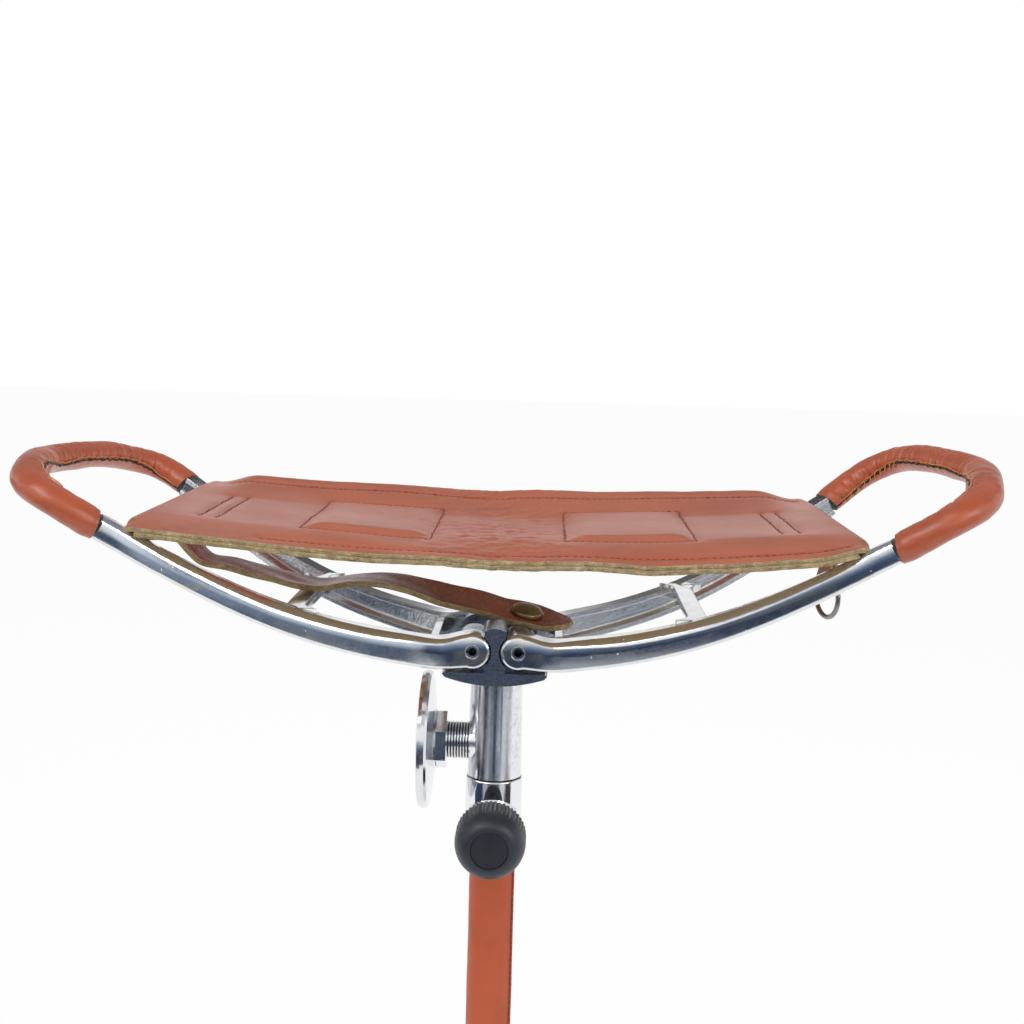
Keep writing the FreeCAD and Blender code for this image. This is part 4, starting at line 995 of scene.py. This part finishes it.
def grip_foam(side, name, seam):
    """The padding under a cover, which swells out through the open seam."""
    frames = grip_frames(460, COVER_TRIM - 1.6, side)
    s = frames[4]
    around = np.linspace(0, 2 * math.pi, 72, endpoint=False)
    angle = np.broadcast_to(around[None], (len(s), len(around)))
    S = np.broadcast_to(s[:, None], angle.shape)
    seam_here = np.interp(s, np.linspace(0, s[-1], len(seam)), seam)[:, None]
    away = (angle - (seam_here - math.radians(5.5)) + math.pi) % (2 * math.pi) - math.pi
    swell = np.exp(-((away / 0.13) ** 2))
    lumpy = waves(S, angle * 8.0, 5.0, 33) + 0.6 * waves(S, angle * 8.0, 2.2, 34)
    worn = 0.4 * (side > 0) * smooth_step(0.7 * s[-1], 0.9 * s[-1], S)
    rings = grip_surface(frames, angle, swell * (0.9 + 0.55 * lumpy + worn) - 1.75) * [side, 1, 1]
    if side < 0:
        rings = rings[:, ::-1]
    points, faces = loft(rings)
    foam = new_mesh(f"{name}_grip_foam", points, faces, [mats["foam"]],
                    attributes={"depth": np.zeros(len(points))})
    settle(foam, f"{name}_frame", "foam", f"{name}_grip_padding")


def grip_lace(side, name, total, holes, spots):
    """The thread along the seam, and on the right the close lacing that crosses it at the rear."""
    frames = grip_frames(900, COVER_TRIM, side)
    s = frames[4]
    seam = seam_angle(s, total)
    nearest = np.min(np.abs(s[:, None] - holes), axis=-1)
    angle = seam + 0.11 - 0.035 * np.cos(2 * math.pi * (s - 10) / 12) - 0.03 * np.sin(s / 5.1)
    out = 0.32 - 0.65 * np.exp(-((nearest / 0.8) ** 2)) + 0.10 * np.sin(s / 3.3)
    sag = creases(s[:, None], angle[:, None], seam[:, None], spots)[:, 0]
    path = grip_surface(frames, angle[:, None], (out + sag * 0.6)[:, None])[:, 0]
    parts = [tube(path[(s > 9.0) & (s < total - 5.0)], LACE_R)]
    row = np.linspace(0, 1, 9)
    for k in range(9 if side > 0 else 0):
        at = total - 8.0 - k * 6.0
        i, j = int(np.argmin(np.abs(s - at))), int(np.argmin(np.abs(s - at + 4.5)))
        idx = (i + (j - i) * row).astype(int)
        sweep = seam[idx] - 0.42 + 0.5 * row
        lift = 0.45 + 0.5 * np.sin(math.pi * row)
        across = grip_surface(tuple(f[idx] for f in frames), sweep[:, None], lift[:, None])[:, 0]
        parts.append(tube(across, LACE_R + 0.01))
    points, faces = merge(parts)
    if side < 0:
        faces = [f[::-1] for f in faces]
    lace = new_mesh(f"{name}_grip_thread", points * [side, 1, 1], faces, [mats["thread"]])
    settle(lace, f"{name}_frame", "leather")


mats["dark_edge"] = suede_material("dark_edge", ((0.05, 0.03, 0.02), (0.10, 0.055, 0.035), (0.2, 0.1, 0.06)))
for name, side in (("right", 1), ("left", -1)):
    seam, total, holes, spots = grip_cover(side, name)
    grip_foam(side, name, seam)
    grip_lace(side, name, total, holes, spots)


# Strap

STRAP = [(-171.8, 52.0), (-167.0, 46.2), (-161.5, 40.6), (-154.0, 34.6), (-140.0, 32.2), (-121.0, 27.8),
         (-103.0, 23.9), (-90.0, 23.2), (-72.0, 26.4), (-52.0, 24.4), (-30.0, 17.2), (-6.0, 12.0), (4.0, 9.1),
         (14.5, 7.3), (25.0, 5.6), (39.0, 5.0)]
STRAP_THICK, STRAP_HALF_Y, STRAP_ROLL = 3.0, 12.4, 0.24


def strap_rise(x, y):
    """How far the strap's rear side stands up where it lies rolled towards the front over the hub."""
    rolled = smooth_step(-75.0, -15.0, x) * (1 - 0.5 * smooth_step(20.0, 39.0, x))
    return STRAP_ROLL * rolled * (y + STRAP_HALF_Y)


route = spline(STRAP, 170)
along = unit(np.gradient(route, axis=0))
normal = np.stack([-along[:, 1], along[:, 0]], -1)
reach = np.linalg.norm(np.diff(route, axis=0), axis=1).sum()
s = np.linspace(0, reach, len(route))
tip = np.clip((reach - s) / 17.0, 0, 1)
half = STRAP_HALF_Y * np.where(tip < 1, np.sqrt(1 - (1 - tip) ** 2.4) * 0.92 + 0.08 * tip, 1.0)
half = np.maximum(half + 0.25 * waves(s, s * 0, 16.0, 91), 0.6)
y = half[:, None] * np.linspace(-1, 1, 29)[None]
ripple = 0.25 * waves(np.broadcast_to(s[:, None], y.shape), y, 22.0, 92)
lift = STRAP_THICK + ripple
x = route[:, 0][:, None] + normal[:, 0][:, None] * lift
z = route[:, 1][:, None] + normal[:, 1][:, None] * lift + strap_rise(x, y)
strap = add_hide("strap_leather", "left_frame", ["retaining_strap"], np.stack([x, y, z], -1).reshape(-1, 3),
                 lattice(y.shape[1], len(s)), STRAP_THICK, 93, mat="strap", rough=0.16, bulge=0.2)


def lathe(name, profile, base, axis, material, sides):
    """A turned piece: (radius, height) pairs about an axis that starts at base."""
    side = unit(np.cross(axis, [0, 1, 0]))
    other = np.cross(axis, side)
    angles = np.linspace(0, 2 * math.pi, sides, endpoint=False)
    ring = np.cos(angles)[:, None] * side + np.sin(angles)[:, None] * other
    points, faces = loft([base + axis * h + ring * r for r, h in profile])
    return new_mesh(name, points, faces, [material], sharp=35.0)


stud_x, stud_tilt = 14.5, math.radians(9.5)
stud_axis = unit(np.array([math.sin(stud_tilt), -STRAP_ROLL, math.cos(stud_tilt)]))
stud_base = np.array([stud_x, 0, 7.3 + float(strap_rise(stud_x, 0.0))])
cap = [(1.8, 0.05), (7.9, 0.05), (8.5, 0.0), (8.8, 0.25), (8.8, 0.65), (8.55, 0.9), (8.2, 0.85)]
cap += [(8.0 * math.cos(a), 0.95 + 2.45 * math.sin(a)) for a in np.linspace(0, math.pi / 2, 12)[:-1]]
cap += [(0.4, 3.4)]
socket = [(2.9, 0.0), (2.9, -1.35), (3.3, -1.6), (5.4, -1.6), (6.0, -1.3), (6.2, -0.7), (6.0, -0.1),
          (5.6, 0.0)]
post = [(1.2, -0.4), (1.75, -0.2), (1.75, 3.5), (1.2, 3.75)]
strap_pieces = [strap]
for name, replaced, profile, start, sides in (
    ("strap_stud_dome", "strap_stud_cap", cap, 3.35, 64),
    ("strap_stud_ring", "strap_stud_socket", socket, -0.35, 64),
    ("strap_stud_rivet", "strap_stud_post", post, 0.0, 24),
):
    piece = lathe(name, profile, stud_base + stud_axis * start, stud_axis, mats["brass"], sides)
    strap_pieces.append(settle(piece, "left_frame", "old_brass", replaced))

for piece in strap_pieces:
    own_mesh(piece)


# Shaft leather

SHAFT_TOP, SHAFT_BOTTOM, SHAFT_R = -114.3, 62.0 - PIVOT_Z, 12.9
SEAM_AT, LAP, STITCHED_AT = math.radians(-22.0), math.radians(9.0), math.radians(11.0)

turns = np.linspace(0, 1, 120)
heights = np.arange(SHAFT_BOTTOM, SHAFT_TOP + 0.1, 1.6)
Z, A = np.meshgrid(heights, SEAM_AT + turns * (2 * math.pi + LAP), indexing="ij")
lift = np.where(turns > 0.93, smooth_step(0.93, 0.985, turns) * 0.95, 0.0)[None]
away = np.abs((A - (SEAM_AT + 2 * math.pi + LAP - STITCHED_AT) + math.pi) % (2 * math.pi) - math.pi)
# line sinks the stitched groove, and through crease it also darkens that groove as painted shade.
line = np.exp(-((away * SHAFT_R / 0.7) ** 2)) * (turns[None] > 0.9)
radius = SHAFT_R - 1.0 + lift + 0.12 * waves(Z, A * 12, 60.0, 95) + 0.05 * waves(Z, A * 12, 14.0, 96)
radius = radius - 0.25 * line
points = np.stack([radius * np.cos(A), radius * np.sin(A), Z], -1).reshape(-1, 3)
quads = facing_out(points, lattice(len(turns), len(Z)), points * [0, 0, 1])
shaft = add_hide("shaft_leather_wrap", "shaft", ["shaft_leather"], points, quads, 1.1, 97, mat="shaft",
                 edge="dark_edge", rough=0.05, bulge=0.1, rows=2, crease=np.clip(line, 0, 1).reshape(-1))

stitch_angle = SEAM_AT + LAP - STITCHED_AT
t = np.linspace(0, 1, 6)
r = SHAFT_R - 0.05 + 0.28 * np.sin(math.pi * t) - 0.12
threads = []
for k in range(int((SHAFT_TOP - SHAFT_BOTTOM - 6) / STITCH_PITCH)):
    z = SHAFT_BOTTOM + 3 + k * STITCH_PITCH + 0.4 + 2.6 * t
    threads.append(tube(np.stack([r * math.cos(stitch_angle), r * math.sin(stitch_angle), z], -1), 0.3, 6))
settle(new_mesh("shaft_stitches", *merge(threads), [mats["stitch"]]), "shaft", "leather")


# Ring tab

TURN = math.radians(20.0)
tab_along = np.array([-math.sin(TURN), math.cos(TURN), 0])
tab_out = np.array([math.cos(TURN), math.sin(TURN), 0])
eye = np.array([171.5, 0, BAR_Z - LOOP_R - 17.0])
tab_path = [(2.2, 17.0), (2.3, 12.0), (2.1, 6.0), (3.0, 1.6), (3.6, -1.0), (2.4, -3.6), (0, -4.3)]
fold = spline(tab_path + [(-out, up) for out, up in tab_path[-2::-1]], 60)
width = np.linspace(-5.5, 5.5, 13)
points = np.array([eye + tab_out * o + tab_along * w + [0, 0, h] for o, h in fold for w in width])
quads = facing_out(points, lattice(len(width), len(fold)), eye)
tab = add_hide("ring_tab_leather", "right_seat", ["ring_tab"], points, quads, 1.6, 99, mat="strap",
               rough=0.08, bulge=0.12, rows=3)


# Studio

WHITE = (1, 1, 1, 1)
FLOOR_HALF, FLOOR_COLOUR, FLOOR_SHARE = 14.0, (0.86, 0.86, 0.87, 1), 0.95
SKY_COLOUR, SKY_STRENGTH = (0.93, 0.96, 1.0, 1), 0.55


def plain_quad(name, w, h):
    mesh = bpy.data.meshes.new(name)
    mesh.from_pydata([(-w, -h, 0), (w, -h, 0), (w, h, 0), (-w, h, 0)], [], [(0, 1, 2, 3)])
    return add_object(name, mesh)


def add_node(tree, kind, inputs, **settings):
    """Adds a node, each of whose inputs is given as a value or as another node's output."""
    node = tree.nodes.new(kind)
    for key, value in settings.items():
        setattr(node, key, value)
    for key, value in inputs.items():
        if isinstance(value, bpy.types.NodeSocket):
            tree.links.new(value, node.inputs[key])
        else:
            node.inputs[key].default_value = value
    return node.outputs[0] if node.outputs else node


def seen_directly(tree):
    """1 for what the camera, metal and glass see, 0 for the light that falls on the object."""
    path = tree.nodes.new("ShaderNodeLightPath").outputs
    total = add_node(tree, "ShaderNodeMath", {0: path["Is Camera Ray"], 1: path["Is Glossy Ray"]},
                     operation="ADD")
    return add_node(tree, "ShaderNodeMath", {0: total, 1: path["Is Transmission Ray"]}, operation="ADD",
                    use_clamp=True)


floor = plain_quad("floor", FLOOR_HALF, FLOOR_HALF)
floor.location.z = -0.0005
floor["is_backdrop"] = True
mat = bpy.data.materials.new("floor")
mat.use_nodes = True
tree = mat.node_tree
tree.nodes.clear()
share = add_node(tree, "ShaderNodeMath", {0: seen_directly(tree), 1: FLOOR_SHARE}, operation="MULTIPLY")
diffuse = add_node(tree, "ShaderNodeBsdfDiffuse", {"Color": FLOOR_COLOUR})
glow = add_node(tree, "ShaderNodeEmission", {"Color": WHITE, "Strength": 1.0})
blend = add_node(tree, "ShaderNodeMixShader", {0: share, 1: diffuse, 2: glow})
add_node(tree, "ShaderNodeOutputMaterial", {"Surface": blend})
floor.data.materials.append(mat)

world = bpy.data.worlds.new("studio")
bpy.context.scene.world = world
world.use_nodes = True
tree = world.node_tree
tree.nodes.clear()
soft = add_node(tree, "ShaderNodeBackground", {"Color": SKY_COLOUR, "Strength": SKY_STRENGTH})
plain = add_node(tree, "ShaderNodeBackground", {"Color": WHITE, "Strength": 1.0})
blend = add_node(tree, "ShaderNodeMixShader", {0: seen_directly(tree), 1: soft, 2: plain})
add_node(tree, "ShaderNodeOutputWorld", {"Surface": blend})


def aim(obj, location, target, axis):
    obj.location = location
    obj.rotation_mode = "QUATERNION"
    obj.rotation_quaternion = (Vector(target) - Vector(location)).to_track_quat(axis, "Y")


def card(name, centre, size, facing, stops, patches=None, across=False):
    """A studio flag that only reflections see, shaded from its lower edge to its upper one,
    or from its left edge to its right one when across is set."""
    obj = plain_quad(name, size[0] / 2, size[1] / 2)
    aim(obj, centre, facing, "Z")
    shader = Shader(name)
    place, span = (shader.axis(0), size[0]) if across else (shader.axis(1), size[1])
    colour = shader.ramp(shader.plus(shader.math("DIVIDE", place, span), 0.5), stops)
    if patches is not None:
        tint, low, high = patches
        blots = shader.noise(2.2, 4.0, 0.55, 0.4, shader.scaled((0.6, 1.6, 1.0)))
        colour = shader.mix(shader.rise(blots, low, high), colour, tint)
    shader.nodes.remove(shader.bsdf)
    glow = add_node(shader.mat.node_tree, "ShaderNodeEmission", {"Color": colour})
    shader.links.new(glow, shader.nodes["Material Output"].inputs["Surface"])
    obj.data.materials.append(shader.mat)
    for kind in ("camera", "diffuse", "shadow", "transmission", "volume_scatter"):
        setattr(obj, f"visible_{kind}", False)
    obj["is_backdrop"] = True


NAVY = (0.030, 0.046, 0.085)
card("front_flag", (0.0, -1.75, 0.40), (4.4, 1.0), (0, 0, 0.40),
     [(0.0, NAVY), (0.40, NAVY), (0.56, (0.085, 0.12, 0.20)), (0.72, (0.20, 0.25, 0.34)),
      (0.98, (0.8, 0.85, 0.9))], ((0.15, 0.15, 0.12), 0.60, 0.66))
card("rear_flag", (0.0, 2.4, 1.15), (6.4, 1.9), (0, 0, 0.7),
     [(0.0, (0.72, 0.72, 0.73)), (0.46, (0.98, 0.98, 0.99)), (0.60, 0.16), (1.0, 0.05)])
card("sky_patch", (0.76, -1.70, 0.40), (0.42, 1.0), (0, 0, 0.40),
     [(0.0, (0.05, 0.07, 0.12)), (0.28, (0.06, 0.09, 0.15)), (0.40, (0.24, 0.30, 0.40)),
      (0.6, (0.62, 0.70, 0.80)), (1.0, (0.9, 0.94, 0.98))], ((0.28, 0.28, 0.24), 0.60, 0.66))
card("apron", (0.0, -1.36, 0.004), (4.4, 0.74), (0, -1.36, 1.0),
     [(0.0, 0.5), (0.16, (0.7, 0.72, 0.75)), (0.34, (0.6, 0.62, 0.65)), (0.38, NAVY), (0.62, NAVY),
      (0.66, (0.38, 0.40, 0.44)), (0.74, (0.42, 0.44, 0.48)), (0.77, (0.05, 0.05, 0.06)),
      (0.92, (0.05, 0.05, 0.06))], across=True)
card("low_band", (0.0, -1.72, 0.06), (4.4, 0.12), (0, 0, 0.06),
     [(0.0, (0.55, 0.55, 0.56)), (0.25, (0.75, 0.77, 0.80)), (0.43, (0.52, 0.55, 0.60)), (0.485, NAVY),
      (0.53, NAVY), (0.56, (0.34, 0.37, 0.42)), (0.70, (0.42, 0.44, 0.48)), (0.76, (0.05, 0.05, 0.06)),
      (0.95, (0.06, 0.06, 0.07))], across=True)
for name, centre, size, facing, low, high in (
    ("left_apron", (-1.15, -0.70, 0.004), (0.9, 0.9), (-1.15, -0.70, 1.0), NAVY, NAVY),
    ("right_apron", (1.20, -0.75, 0.004), (0.7, 0.7), (1.20, -0.75, 1.0),
     (0.05, 0.04, 0.04), (0.07, 0.06, 0.06)),
    ("front_ceiling", (0.0, -1.75, 2.3), (6.4, 1.3), (0, -1.75, 0), (0.56, 0.61, 0.69), (0.60, 0.65, 0.72)),
    ("ceiling", (0.0, 0.6, 2.3), (6.4, 3.4), (0, 0.6, 0), (0.24, 0.27, 0.32), (0.26, 0.28, 0.32)),
    ("left_rear_flag", (-2.0, 1.0, 0.45), (0.9, 0.8), (0, 0, 0.45), (0.11, 0.115, 0.13), (0.14, 0.145, 0.16)),
    ("left_flag", (-2.2, -0.5, 0.45), (0.9, 0.9), (0, 0, 0.45), (0.09, 0.10, 0.11), (0.16, 0.17, 0.17)),
    ("right_flag", (2.2, -0.9, 0.45), (0.7, 0.9), (0, 0, 0.45), (0.12, 0.075, 0.06), (0.10, 0.10, 0.11)),
):
    card(name, centre, size, facing, [(0.0, low), (1.0, high)])


def area_light(name, location, target, size, energy, colour=(1, 1, 1)):
    data = bpy.data.lights.new(name, "AREA")
    data.shape = "RECTANGLE"
    data.size, data.size_y = size
    data.energy = energy
    data.color = colour
    obj = add_object(name, data)
    aim(obj, location, target, "-Z")
    return obj


area_light("key", (-1.1, -1.2, 2.3), (0, 0, 0.6), (1.6, 1.2), 26.0, (1.0, 0.985, 0.96))
area_light("fill", (1.6, -1.4, 1.5), (0, 0, 0.6), (1.2, 1.2), 13.0, (0.96, 0.98, 1.0))
back = area_light("back", (0.3, 1.9, 1.9), (0, 0, 0.62), (1.8, 0.9), 16.0)
back.visible_glossy = False

CAMERA_AT = (21.7, -760.4, 162.3)
YAW, PITCH, ROLL = math.radians(1.21), math.radians(7.21), math.radians(1.59)
FOCAL_PX, IMAGE_PX = 1469.0, 1024.0
SENSOR = 36.0

flat_forward = Vector((-math.sin(YAW), math.cos(YAW), 0))
flat_right = Vector((math.cos(YAW), math.sin(YAW), 0))
level_up = Vector((0, 0, 1))
forward = math.cos(PITCH) * flat_forward - math.sin(PITCH) * level_up
tilted_up = math.cos(PITCH) * level_up + math.sin(PITCH) * flat_forward
right = math.cos(ROLL) * flat_right + math.sin(ROLL) * tilted_up
up = -math.sin(ROLL) * flat_right + math.cos(ROLL) * tilted_up
camera_data = bpy.data.cameras.new("camera")
camera_data.sensor_width = SENSOR
camera_data.lens = FOCAL_PX / IMAGE_PX * SENSOR
camera_data.clip_start, camera_data.clip_end = 0.05, 100.0
camera = add_object("camera", camera_data)
rotation = Matrix((right, up, -forward)).transposed().to_4x4()
place = Vector(to_frame([CAMERA_AT])[0])
camera.matrix_world = Matrix.Translation(place) @ rotation
bpy.context.scene.camera = camera
bpy.context.scene.view_settings.view_transform = "Standard"

low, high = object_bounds()
